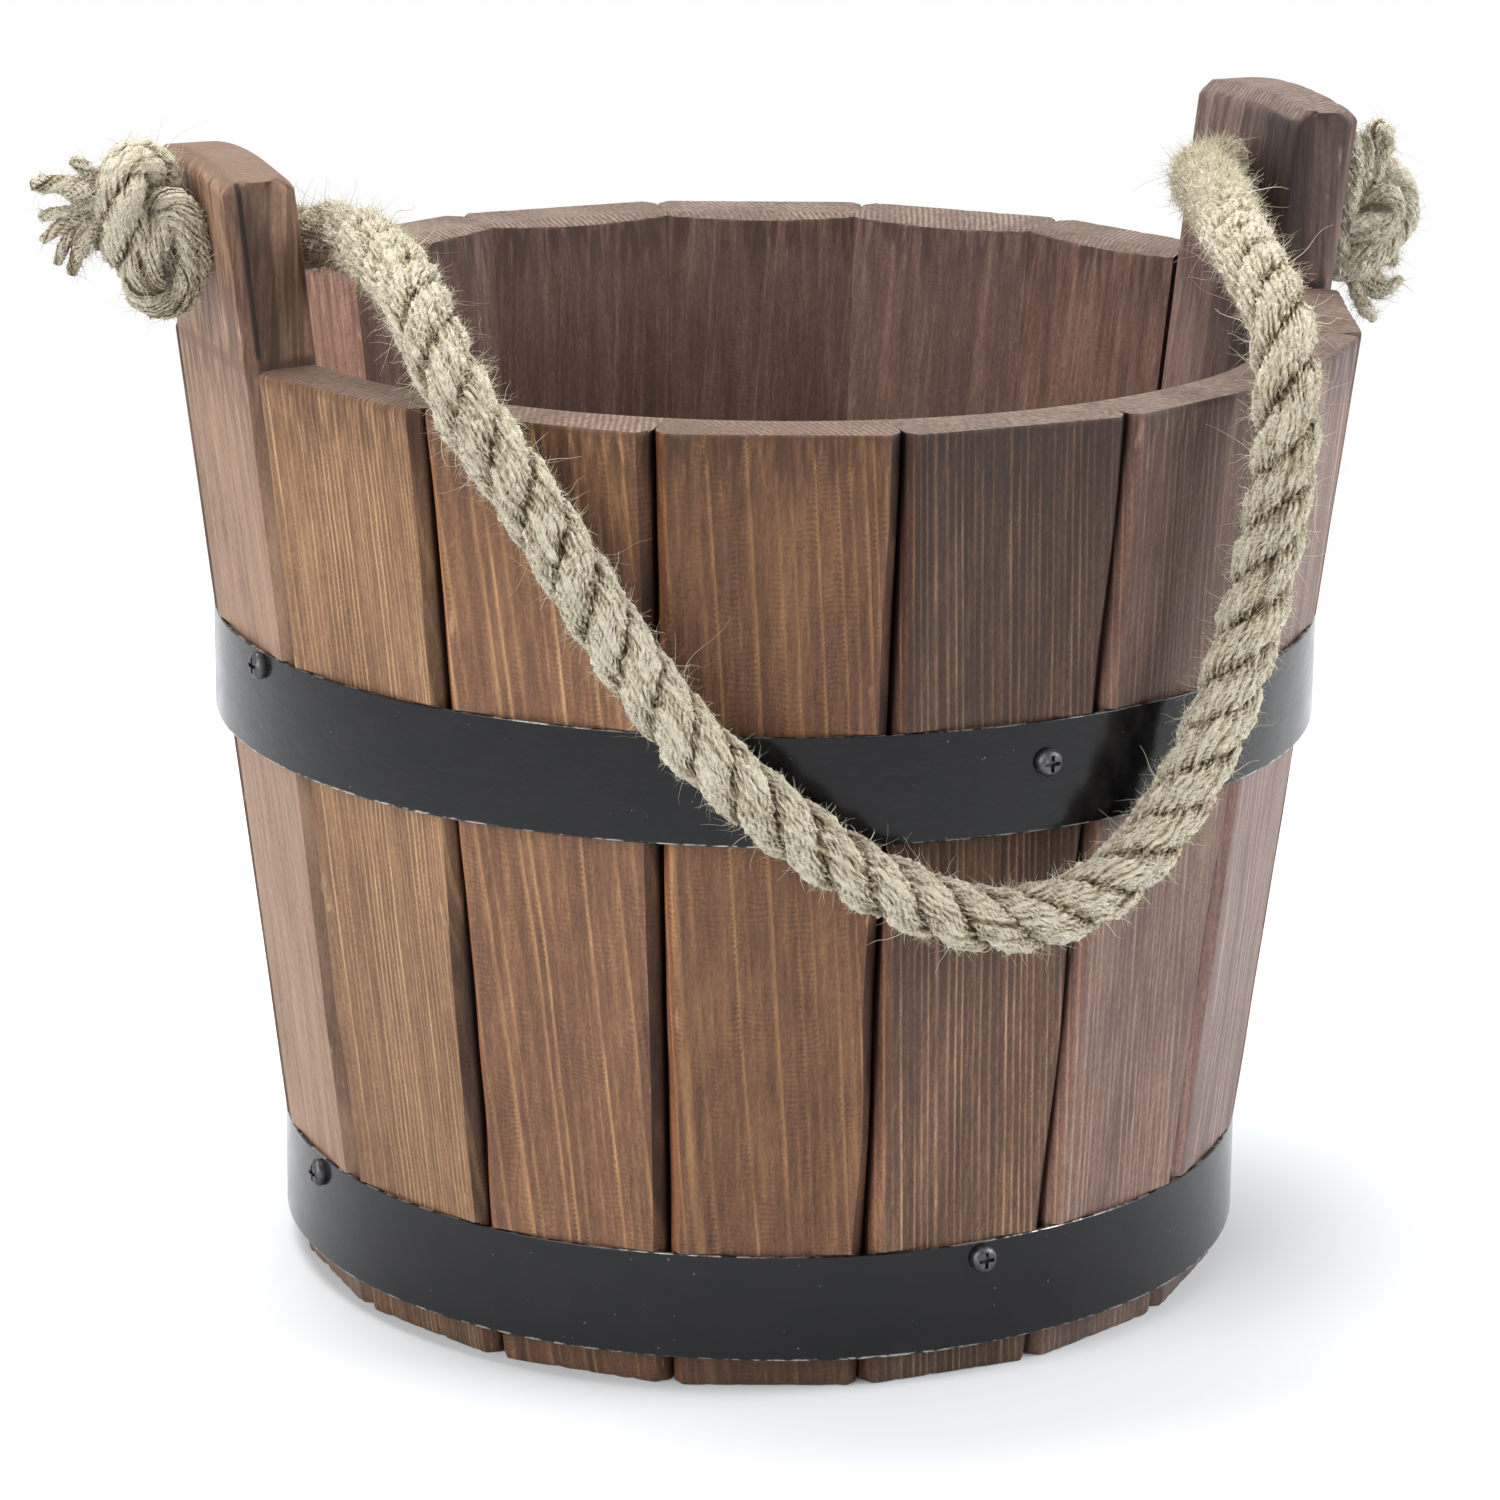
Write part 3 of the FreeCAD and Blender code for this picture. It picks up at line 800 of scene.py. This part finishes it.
rope = {
    "diameter": 0.016,
    "lay": 0.041,  # one turn of a strand
    "strandRadius": 0.0038,
    "strandSpread": 1.18,  # width over height of a strand, pressed on its neighbours
    "strandOffset": 0.00415,
    "yarns": 16,  # ridges round a strand
    "yarnDepth": 0.0008,
    "fuzz": 0.42,  # unevenness of the yarns' surface
    "wander": (0.12, 5, 0.02, 0.09),  # of the strands' turns
    "plump": (0.05, 6, 0.008, 0.05),  # swelling and thinning along a strand
    "yarnLay": 0.043,  # yarns turn the other way, so they lie along the rope
    "sides": 76,
    "exit": (-0.136, 0.0, 0.2775),
    "route": (
        (-144.3, 0.0, 277.5), (-133.5, 0.0, 277.5), (-125.8, -3.6, 278.0),
        (-120.6, -10.5, 278.4), (-118.4, -20.4, 278.8), (-119.5, -33.0, 278.9),
        (-121.5, -51.0, 278.5), (-124.0, -70.0, 277.3), (-127.0, -88.0, 273.8),
        (-127.0, -101.0, 264.5), (-122.5, -111.0, 251.5), (-114.0, -119.5, 237.5),
        (-101.5, -128.0, 213.5), (-85.5, -136.0, 185.0), (-62.0, -145.5, 160.0),
        (-34.0, -151.5, 139.5), (-6.0, -154.5, 128.0), (21.0, -153.0, 131.0),
        (41.5, -150.5, 147.0), (56.0, -148.0, 169.5), (65.0, -147.5, 196.0),
        (69.0, -149.5, 220.0), (69.5, -153.0, 239.0), (70.2, -151.3, 252.8),
        (72.8, -144.3, 264.7), (74.5, -133.5, 273.1), (78.6, -115.5, 277.6),
        (87.0, -91.0, 279.0), (98.0, -65.0, 279.2), (108.5, -40.0, 279.0),
        (115.0, -23.0, 278.6), (119.2, -10.8, 278.2), (125.6, -3.4, 277.8),
        (133.5, 0.0, 277.5), (144.3, 0.0, 277.5),
    ),
}
yarnShape = {
    "slip": (0.25, 5, 0.004, 0.03),
    "uneven": (0.9, 4, 0.9, 3.2),
    "clump": (0.7, 6, 0.0018, 0.008),
    "clumpShift": 0.37,  # from one yarn to the next
    "roundness": 0.7,
    "heights": (0.3, 1.3),
    "sunk": 0.6,
    "blend": (0.6, 0.25),  # own and neighbours' share when the fuzz is evened out
}
ropeLightShade = {  # painted highlight on the yarns' humps and on the rope's outside, painted shade between the yarns and strands
    "hump": 0.5,
    "outer": 0.8,
    "from": 0.6,
    "span": 0.37,
    "less": 0.25,
}


def splinePoints(name, route, perRun):
    curve = bpy.data.curves.new(name, "CURVE")
    curve.dimensions = "3D"
    spline = curve.splines.new("NURBS")
    spline.points.add(len(route) - 1)
    for point, place in zip(spline.points, route):
        point.co = (place[0] * 0.001, place[1] * 0.001, place[2] * 0.001, 1)
    spline.order_u = 3
    spline.use_endpoint_u = True
    spline.resolution_u = perRun
    holder = bpy.data.objects.new(name, curve)
    scene.collection.objects.link(holder)
    bpy.context.view_layer.update()
    mesh = bpy.data.meshes.new_from_object(holder)
    line = np.array([vertex.co for vertex in mesh.vertices])
    bpy.data.objects.remove(holder)
    bpy.data.meshes.remove(mesh)
    bpy.data.curves.remove(curve)
    return line


def unit(vectors):
    return vectors / np.maximum(np.linalg.norm(vectors, axis=-1, keepdims=True), 1e-12)


def carried(line):
    ahead = unit(np.gradient(line, axis=0))
    side = np.zeros_like(line)
    guess = np.array([0.0, 0.0, 1.0]) if abs(ahead[0, 2]) < 0.9 else np.array([1.0, 0.0, 0.0])
    side[0] = unit(guess - ahead[0] * (guess @ ahead[0]))
    for step in range(1, len(line)):
        turned = side[step - 1] - ahead[step] * (side[step - 1] @ ahead[step])
        side[step] = unit(turned)
    lengths = np.concatenate([[0], np.cumsum(np.linalg.norm(np.diff(line, axis=0), axis=1))])
    return ahead, side, np.cross(ahead, side), lengths


def yarnTube(line, radius, look, rng):
    ahead, side, over, lengths = carried(line)
    turn = np.linspace(0, 2 * math.pi, look["sides"], endpoint=False)
    slip = wobble(rng, yarnShape["slip"], lengths)[:, None]
    twisted = turn[None, :] + 2 * math.pi * lengths[:, None] / look["yarnLay"] + slip
    uneven = wobble(rng, yarnShape["uneven"], twisted)
    number = (twisted * look["yarns"]) / (2 * math.pi) + uneven + rng.uniform(0, 1)
    hump = np.abs(np.sin(number * math.pi)) ** yarnShape["roundness"]
    yarn = np.floor(number).astype(int) % look["yarns"]
    tall = rng.uniform(*yarnShape["heights"], look["yarns"])[yarn]
    clump = wobble(rng, yarnShape["clump"], lengths[:, None] + yarnShape["clumpShift"] * yarn)
    rough = rng.normal(0, look["fuzz"], number.shape)
    own, beside = yarnShape["blend"]
    rough[1:-1] = beside * rough[:-2] + own * rough[1:-1] + beside * rough[2:]
    radius = np.broadcast_to(np.asarray(radius, float).reshape(-1, 1), number.shape)
    reach = radius + look["yarnDepth"] * (hump * (tall + clump) - yarnShape["sunk"] + rough)
    outward = side[:, None] * np.cos(turn)[None, :, None] + over[:, None] * np.sin(turn)[None, :, None]
    points = line[:, None] + reach[..., None] * outward
    along = np.broadcast_to(lengths[:, None], number.shape) + rng.uniform(0, 1)
    fibreWay = np.stack([radius * np.cos(twisted), radius * np.sin(twisted), along], 2)
    return {
        "line": line,
        "ahead": ahead,
        "points": points,
        "hump": hump,
        "fibreWay": fibreWay,
        "toneAndShade": hump,  # painted shade: low between the yarns, so the colour darkens there
    }


def layRope(line, look, rng, scale=1.0, twist=0.0):
    ahead, side, over, lengths = carried(line)
    tubes = []
    for strand in range(3):
        turn = 2 * math.pi * (lengths / look["lay"] + strand / 3) + twist
        turn = turn + wobble(rng, look["wander"], lengths)
        offset = look["strandOffset"] * scale
        radial = side * np.cos(turn)[:, None] + over * np.sin(turn)[:, None]
        centre = line + offset * radial
        plump = 1 + wobble(rng, look["plump"], lengths)
        radius = look["strandRadius"] * scale * plump
        tube = yarnTube(centre, radius, {**look, "yarnDepth": look["yarnDepth"] * scale}, rng)
        sidewise = np.cross(ahead, radial)[:, None]
        apart = ((tube["points"] - centre[:, None]) * sidewise).sum(2, keepdims=True)
        tube["points"] += sidewise * apart * (look["strandSpread"] - 1)
        fromMiddle = np.linalg.norm(tube["points"] - line[:, None], axis=2)
        outward = fromMiddle / (offset + look["strandRadius"] * scale)
        # painted highlight on the rope's outside, painted shade where the strands meet
        outer = ropeLightShade["outer"] * np.clip((outward - ropeLightShade["from"]) / ropeLightShade["span"], 0, 1)
        tube["toneAndShade"] = ropeLightShade["hump"] * tube["hump"] + outer - ropeLightShade["less"]
        tube["line"] = line
        tubes.append(tube)
    return tubes


def tubePiece(name, tubes, material, body):
    faces, start = [], 0
    for tube in tubes:
        count, around = tube["points"].shape[:2]
        faces += tubeFaces(count, around, start)
        faces.append(list(range(start, start + around))[::-1])
        faces.append(list(range(start + (count - 1) * around, start + count * around)))
        start += count * around
    points = np.concatenate([tube["points"].reshape(-1, 3) for tube in tubes])
    piece = addPiece(name, points, faces, material, body, 80)
    setShade(piece, np.concatenate([tube["toneAndShade"].ravel() for tube in tubes]))
    layer = piece.data.attributes.new("fibreWay", "FLOAT_VECTOR", "POINT")
    ways = np.concatenate([tube["fibreWay"].reshape(-1, 3) for tube in tubes])
    layer.data.foreach_set("vector", ways.astype(np.float32).ravel())
    return piece


juteLook = {
    "tones": (rgb(46, 35, 20), rgb(108, 90, 60), rgb(168, 154, 126), rgb(220, 212, 190)),
    "stops": (0.36, 0.58, 0.82, 1.05),
    "toneStart": 0.82,
    "toneRange": 1.1,
    "rough": 0.7,
    "specular": 0.3,
    "sheen": 0.15,
    "patches": {
        "patch": ((0.008, 0.008, 0.008), 2, 3.0),
        "fleck": ((0.0012, 0.0012, 0.0012), 4, 2.0),
    },
    "threads": {  # drawn out along the yarns
        "strand": ((0.0006, 0.0006, 0.0026), 6, 2.0),
        "hair": ((0.0003, 0.0003, 0.0014), 9, 2.0),
    },
}
hairLook = {
    "tones": (rgb(142, 128, 98), rgb(188, 179, 153), rgb(222, 216, 198)),
    "stops": (0.25, 0.55, 0.85),
    "rough": 0.6,
    "specular": 0.3,
    "noises": {"band": ((0.004, 0.004, 0.004), 3, 2.0)},
}


def juteMaterial(name):
    material, tree, shader = newMaterial(name)
    way = addNode(tree, "Attribute", attribute_name="fibreWay").outputs["Vector"]
    toneAndShade = addNode(tree, "Attribute", attribute_name="toneAndShade").outputs["Fac"]
    patches = allNoises(localPlace(tree), juteLook["patches"])
    threads = allNoises(splitAxes(way), juteLook["threads"])
    strand, hair, fleck = threads["strand"], threads["hair"], patches["fleck"]
    # painted highlight on the yarns' humps and painted shade between them, with noise along the yarns
    tone = weighted(times(toneAndShade, 0.98), (strand, 0.85), (hair, 0.45), (patches["patch"], 0.25),
                    (fleck, 0.35))
    span = juteLook["toneRange"]
    tone = times(calc("SUBTRACT", tone, juteLook["toneStart"]), 1 / span)
    stops = [(place / span, colour) for place, colour in zip(juteLook["stops"], juteLook["tones"])]
    feedAll(shader, {
        "Base Color": ramp(tone, stops),
        "Roughness": juteLook["rough"],
        "Specular IOR Level": juteLook["specular"],
        "Sheen Weight": juteLook["sheen"],
    })
    addBump(shader, weighted(hair, (fleck, 0.8), (strand, 1.2)), 1.0, 0.0009)
    return material


def hairMaterial(name):
    material, tree, shader = newMaterial(name)
    toneAndShade = addNode(tree, "Attribute", attribute_name="toneAndShade").outputs["Fac"]
    band = allNoises(localPlace(tree), hairLook["noises"])["band"]
    tone = weighted(times(toneAndShade, 0.6), (band, 0.5))
    feedAll(shader, {
        "Base Color": ramp(tone, list(zip(hairLook["stops"], hairLook["tones"]))),
        "Roughness": hairLook["rough"],
        "Specular IOR Level": hairLook["specular"],
    })
    return material


jute = juteMaterial("jute")
juteHair = hairMaterial("jute_hair")

ropeRng = np.random.default_rng(7)
ropeLine = splinePoints("ropeLine", rope["route"], 36)
ropeTubes = layRope(ropeLine, rope, ropeRng)
ropePiece = tubePiece("rope_strands", ropeTubes, jute, "rope")
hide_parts("rope_handle")


# Flyaway fibres

fibres = {  # shortest, longest, radius, lift, stray and joints of each kind
    "down": (0.0012, 0.0036, 0.00008, 0.5, 0.45, 5),
    "felt": (0.0014, 0.0036, 0.00010, 0.25, 0.9, 5),
    "bristle": (0.0022, 0.0068, 0.000075, 0.8, 0.5, 5),
    "curl": (0.005, 0.0145, 0.00013, 1.0, 0.5, 9),
}
fibreShape = {
    "rise": (0.2, 1.0),
    "slope": (-1.3, 1.3),
    "curl": 0.62,
    "wave": 0.18,
    "waveTurns": 5.5,
    "thinning": 0.75,  # from root to tip
    "thickness": (0.6, 1.3),
    "shade": (0.2, 1.0),
    "tries": 4,  # spots of which the outermost is taken
}


def growFibres(roots, outs, alongs, lengths, radius, lift, stray, joints, rng):
    count = len(roots)
    share = np.linspace(0, 1, joints)[None, :, None]
    lean = outs * rng.uniform(*fibreShape["rise"], (count, 1)) * lift
    lean = lean + alongs * rng.uniform(*fibreShape["slope"], (count, 1))
    lean = unit(lean + rng.normal(0, stray, (count, 3)))
    curl = unit(rng.normal(0, 1, (count, 3)))
    wave = unit(rng.normal(0, 1, (count, 3)))
    size = lengths[:, None, None]
    bent = lean[:, None] * share + fibreShape["curl"] * curl[:, None] * share ** 2
    bent = bent + fibreShape["wave"] * wave[:, None] * np.sin(share * fibreShape["waveTurns"]) * share
    path = roots[:, None] + size * bent
    spin = unit(np.cross(lean, curl))
    rise = unit(np.cross(lean, spin))
    reach = radius[:, None, None] * (1 - fibreShape["thinning"] * share)
    points = []
    for corner in range(3):
        turn = 2 * math.pi * corner / 3
        points.append(path + reach * (spin[:, None] * math.cos(turn) + rise[:, None] * math.sin(turn)))
    points = np.stack(points, 2).reshape(-1, 3)
    base = (np.arange(count) * joints * 3)[:, None]
    quads = [base + np.array(quad) for quad in tubeFaces(joints, 3)]
    last = (joints - 1) * 3
    ends = [base + np.array([2, 1, 0]), base + np.array([last, last + 1, last + 2])]
    faces = np.stack(quads, 1).reshape(-1, 4).tolist() + np.stack(ends, 1).reshape(-1, 3).tolist()
    return points, faces


def furOn(name, tubes, body, counts, rng, trim=6, start=0.0):
    pieces = []
    for kind, count in counts.items():
        shortest, longest, thick, lift, stray, joints = fibres[kind]
        which = rng.integers(0, len(tubes), count)
        roots, outs, alongs = [], [], []
        for number in which:
            tube = tubes[number]
            rows = tube["points"].shape[0]
            step = rng.integers(max(trim, int(start * rows)), rows - trim)
            tries = rng.integers(0, tube["points"].shape[1], fibreShape["tries"])
            spots = tube["points"][step, tries]
            away = np.linalg.norm(spots - tube["line"][step], axis=1)
            pick = spots[int(np.argmax(away))]
            roots.append(pick)
            outs.append(pick - tube["line"][step])
            alongs.append(tube["ahead"][step])
        roots, outs, alongs = np.array(roots), unit(np.array(outs)), np.array(alongs)
        length = shortest + (longest - shortest) * rng.uniform(0, 1, count) ** 2
        radius = thick * rng.uniform(*fibreShape["thickness"], count)
        points, faces = growFibres(roots, outs, alongs, length, radius, lift, stray, joints, rng)
        piece = addPiece(f"{name}_{kind}", points, faces, juteHair, body, 80)
        setShade(piece, np.repeat(rng.uniform(*fibreShape["shade"], count), len(points) // count))
        pieces.append(piece)
    return pieces


ropeFur = furOn("rope", ropeTubes, "rope", {"down": 18000, "bristle": 5200, "curl": 170}, ropeRng)
ropeFur += furOn("rope_felted", ropeTubes, "rope", {"felt": 11000, "bristle": 500}, ropeRng, 18, 0.815)
print("fibres made")


# Stopper knots outside the ears, with frayed tails

earFace = outerFlat(tub["earHoleHeight"])
knotLook = {**rope, "lay": 0.034, "yarns": 14, "sides": 56, "yarnDepth": 0.0007, "yarnLay": 0.036}
strandLook = {**rope, "yarns": 11, "sides": 55, "yarnDepth": 0.0006, "yarnLay": 0.023}
tailLook = {**rope, "yarns": 4, "sides": 20, "yarnDepth": 0.0005, "yarnLay": 0.02}
knotShape = {
    "twist": 0.7,  # where the strands start
    "plump": (0.08, 5, 0.006, 0.03),
    "plumpLength": 0.1,
    "tailSwell": (0.8, 0.3, 2.4, 0.45),  # root, belly and its curve, loss at the tip
    "fur": {"down": 2600, "bristle": 650, "curl": 14},
    "tailFur": {"down": 900, "bristle": 260},
}
leftKnot = {  # out from the ear's face, across, up from the hole, mm
    "side": -1,
    "knotLight": 0.12,  # painted light: how much paler its fibres are drawn, for the light falling on the knot
    "rope": ((-9, 0, 0), (0, 0, 0), (6, 4, 3), (8.5, 3, 10), (9.3, 2, 17), (15.3, -2, 21),
             (21, -6, 18.7), (22.2, -8, 13), (21.2, -8, 6.8), (20, -7, 1.6), (16, -3, -4)),
    "ropeScale": 0.82,
    "strands": (
        (2.9, ((14.2, -6, 10.6), (9.6, -10, 14.3), (4.9, -11, 9.3), (2.9, -11, 2.4), (2.9, -11, -4.5),
               (5, -11, -9.9), (9.5, -12, -13.5), (14.6, -12, -13.3), (18.7, -11, -10.2), (19.6, -11, -5.2),
               (17.9, -11, -0.4), (14.3, -10, 4.2), (11, -8, 8.6))),
        (2.7, ((13.6, -6, 5.9), (10, -10, 9.8), (7.4, -12, 5.3), (6, -12.5, -1), (6.5, -13, -7.2),
               (9.1, -11, -10.9), (12.7, -10, -10.2), (15.8, -12, -5.9), (15.3, -13, -0.8), (12.7, -12, 3.8),
               (10.4, -9, 7.5))),
        (2.6, ((11.8, -8, 1.2), (9.3, -8, -3.3), (8.8, -8, -8.4), (11.4, -8, -12.5))),
    ),
    "tails": (
        (1.8, ((24.2, -4, 16.1), (29.2, -6, 20.5), (33.2, -6, 23.3))),
        (2.1, ((24.5, -5, 13.9), (35.5, -6, 18.7), (43.4, -6, 17.6))),
        (2.3, ((24.5, -6, 12.9), (31.1, -8, 16.6), (35.9, -8, 15.7))),
        (1.9, ((24.5, -6, 12.3), (30.3, -7, 13.3), (33.5, -7, 12.6))),
        (1.5, ((24.5, -4, 9.5), (35.1, -6, 11.3), (41.7, -6, 9.7))),
        (1.5, ((24.5, -4, 8.6), (36.4, -6, 9.2), (40.9, -6, 3.3))),
        (1.5, ((24.5, -5, 8.1), (34.5, -6, 7.3), (37.4, -6, -2.4))),
        (1.9, ((24.5, -6, 8), (31.4, -8, 6.2), (34.5, -8, -4.8))),
        (1.5, ((24.5, -4, 7.9), (29.9, -5, 4.9), (31, -5, -1.2))),
        (1.3, ((22.5, -3, 6), (26.8, -4, 3.3), (25.9, -4, 0.2))),
    ),
}
rightKnot = {
    "side": 1,
    "knotLight": 0.33,
    "rope": ((-9, 0, 0), (0, 0, 0), (8, 3, 1), (15, 4, 1), (21, 2, 0), (24.5, -1, -2), (25.5, -4, -7),
             (24, -4, -13), (18, -3, -18), (11, -1, -18)),
    "ropeScale": 0.75,
    "strands": (
        (2.8, ((12, -6, 9), (13, -7.5, 3), (12.5, -7.5, -4), (11.5, -6.5, -12), (10, -6, -22),
               (11, -6, -29))),
        (2.6, ((10, -6, -19), (10.5, -6.5, -25), (14, -7, -29), (19, -7, -28), (22.5, -6, -23))),
        (2.3, ((16.4, -5, -10), (16.6, -7, -1.9), (17.1, -8, 6.8), (18.2, -8, 10.4), (20.4, -8, 10.1),
               (21.3, -8, 6.1), (20, -8, 1.9), (18.9, -7, -3.8))),
        (2.1, ((19.4, -6, -4), (21.3, -7, 2.1), (22.5, -8, 6.1), (21.9, -7, 9), (20.8, -6, 9.9))),
        (3.2, ((20.1, -5, -6.8), (23.3, -7, -4.1), (26.6, -8, -3.7), (29.1, -8, -7.7), (29.6, -8, -13.4),
               (27.7, -8, -17.6), (24, -8, -21.9), (18.8, -8, -25.9), (12.6, -7, -28.1), (9, -3, -28.1))),
        (2.7, ((15.9, -4, -9.7), (18.9, -8, -7.1), (22.7, -10, -7), (24.8, -10, -10.6), (23.5, -10, -13.9),
               (17.7, -10, -14.9), (11.5, -8, -15.3))),
        (2.5, ((11.3, -6, -19.1), (16.3, -10, -17.4), (22.2, -10, -17.8), (25.7, -8, -16.6))),
        (2.5, ((10.6, -6, -25.1), (15.2, -9, -23.1), (20.5, -9, -21.3), (24.4, -7, -18.9))),
    ),
    "tails": (
        (1.7, ((14.7, -5, -26.5), (14.5, -6, -35.8), (20.8, -8, -42.2))),
        (1.5, ((16.7, -4, -26.5), (16.4, -6, -35.5), (19, -7, -39.4))),
        (1.6, ((17.6, -5, -26), (18.8, -7, -35.5), (25, -8, -34), (28.6, -8, -31))),
        (1.5, ((20.5, -5, -25), (20.1, -7, -32.5), (24, -8, -33.5))),
        (0.8, ((25.2, -6, -22), (26.7, -7, -26), (26.1, -7, -28.1))),
    ),
}


def knotPlace(knot, point):
    return (knot["side"] * (earFace * 1000 + point[0]), point[1], tub["earHoleHeight"] * 1000 + point[2])


def knotLine(name, knot, route, perRun=16):
    return splinePoints(name, [knotPlace(knot, point) for point in route], perRun)


# painted light: draws the knot's fibres paler
def knotLight(tubes, knot):
    for tube in tubes:
        tube["toneAndShade"] = tube["toneAndShade"] + knot["knotLight"]


def makeKnot(name, knot, seed):
    rng = np.random.default_rng(seed)
    line = knotLine(name, knot, knot["rope"])
    tubes = layRope(line, knotLook, rng, knot["ropeScale"], knotShape["twist"])
    for radius, route in knot["strands"]:
        line = knotLine(name, knot, route)
        plump = 1 + wobble(rng, knotShape["plump"], np.linspace(0, knotShape["plumpLength"], len(line)))
        tubes.append(yarnTube(line, radius * 0.001 * plump, strandLook, rng))
    knotLight(tubes, knot)
    knotted = tubePiece(f"{name}_strands", tubes, jute, "tub")
    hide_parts(f"rope_{name}")
    tails = []
    root, belly, curve, tip = knotShape["tailSwell"]
    for radius, route in knot["tails"]:
        line = knotLine(name, knot, route)
        share = np.linspace(0, 1, len(line))
        swell = root + belly * np.sin(share * curve) - tip * share ** 8
        tails.append(yarnTube(line, radius * 0.001 * swell, tailLook, rng))
    knotLight(tails, knot)
    frayed = tubePiece(f"{name}_tail", tails, jute, "tub")
    fur = furOn(name, tubes, "tub", knotShape["fur"], rng)
    fur += furOn(f"{name}_tail", tails, "tub", knotShape["tailFur"], rng, 1)
    return [knotted, frayed] + fur


knotPieces = makeKnot("knot_left", leftKnot, 21) + makeKnot("knot_right", rightKnot, 22)
print("knots made")


# Stage: white floor that keeps the shadow, three soft lamps, the photograph's camera

stage = {
    "floorRadius": 1.1,
    "floorColour": (0.83, 0.86, 0.885, 1),
    "floorGlow": 0.03,
    "glowColour": (0.97, 0.99, 1.0, 1),
    "floorFade": (0.3, 0.98),  # start in metres, end as a share of the radius
    "floorSides": 96,
    "floorRings": 12,
    "innerRing": 0.05,
    "floorSink": 0.0002,
    "worldLight": 0.45,
    "lamps": {  # place, power and size
        "left": ((-1.6, -0.75, 0.95), 26.0, 1.6),
        "right": ((1.25, -0.75, 0.75), 22.0, 1.1),
        "top": ((-0.15, 0.45, 1.7), 33.0, 1.3),
    },
    "aim": (0.0, 0.0, 0.13),
}
view = {
    "place": (-0.5824, -1.3370, 0.5448),
    "right": (0.91878, -0.39466, 0.00947),
    "up": (0.0994, 0.2545, 0.9619),
    "focal": 5737.57 / 1500,  # share of the picture's width
    "sensor": 36.0,
}


def seenDirectly(tree):
    path = addNode(tree, "LightPath")
    seen = calc("MAXIMUM", path.outputs["Is Camera Ray"], path.outputs["Is Glossy Ray"])
    return calc("MAXIMUM", seen, path.outputs["Is Transmission Ray"])


def makeFloor():
    sides = stage["floorSides"]
    turns = np.linspace(0, 2 * math.pi, sides, endpoint=False)
    rings = np.linspace(stage["innerRing"], 1, stage["floorRings"]) * stage["floorRadius"]
    points = [(0, 0, 0)]
    for radius in rings:
        points += [(radius * math.cos(turn), radius * math.sin(turn), 0) for turn in turns]
    faces = [(0, 1 + i, 1 + (i + 1) % sides) for i in range(sides)]
    faces += [(a, d, c, b) for a, b, c, d in tubeFaces(len(rings), sides, 1)]
    floor = addMesh("floor", points, faces)
    floor.location.z = -stage["floorSink"]
    material, tree, shader = newMaterial("white_floor")
    tree.nodes.remove(shader)
    local = addNode(tree, "TexCoord").outputs["Object"]
    away = addNode(tree, "VectorMath", {0: local}, operation="LENGTH")
    diffuse = addNode(tree, "BsdfDiffuse", {"Color": stage["floorColour"]})
    glow = addNode(tree, "Emission", {"Color": stage["glowColour"]})
    feed(glow.inputs["Strength"], times(seenDirectly(tree), stage["floorGlow"]))
    both = addNode(tree, "AddShader", {0: diffuse.outputs[0], 1: glow.outputs[0]})
    clear = addNode(tree, "BsdfTransparent")
    fadeStart, fadeEnd = stage["floorFade"]
    gone = fade(away.outputs["Value"], fadeStart, stage["floorRadius"] * fadeEnd)
    edge = addNode(tree, "MixShader", {0: gone, 1: both.outputs[0], 2: clear.outputs[0]})
    feed(tree.nodes["Material Output"].inputs["Surface"], edge.outputs[0])
    floor.data.materials.append(material)


def makeWorld():
    world = bpy.data.worlds.new("studio")
    scene.world = world
    world.use_nodes = True
    tree = world.node_tree
    ground = tree.nodes["Background"]
    level = fade(seenDirectly(tree), 0.0, 1.0, stage["worldLight"], 1.0)
    feedAll(ground, {"Color": (1, 1, 1, 1), "Strength": level})


def makeLamp(name, place, power, size):
    lamp = bpy.data.lights.new(name, "AREA")
    lamp.shape = "DISK"
    lamp.size = size
    lamp.energy = power
    holder = bpy.data.objects.new(name, lamp)
    holder.location = place
    holder.rotation_mode = "QUATERNION"
    holder.rotation_quaternion = (Vector(stage["aim"]) - Vector(place)).to_track_quat("-Z", "Y")
    scene.collection.objects.link(holder)


def makeCamera():
    camera = bpy.data.cameras.new("camera")
    camera.sensor_width = view["sensor"]
    camera.lens = view["focal"] * view["sensor"]
    camera.clip_end = 50
    holder = bpy.data.objects.new("camera", camera)
    right = Vector(view["right"]).normalized()
    up = Vector(view["up"])
    up = (up - right * up.dot(right)).normalized()
    back = right.cross(up)
    turn = Matrix((right, up, back)).transposed()
    holder.matrix_world = Matrix.Translation(view["place"]) @ turn.to_4x4()
    scene.collection.objects.link(holder)
    scene.camera = holder


makeFloor()
makeWorld()
for lampName, (lampPlace, lampPower, lampSize) in stage["lamps"].items():
    makeLamp(lampName, lampPlace, lampPower, lampSize)
makeCamera()
scene.view_settings.view_transform = "Standard"
print("stage set")
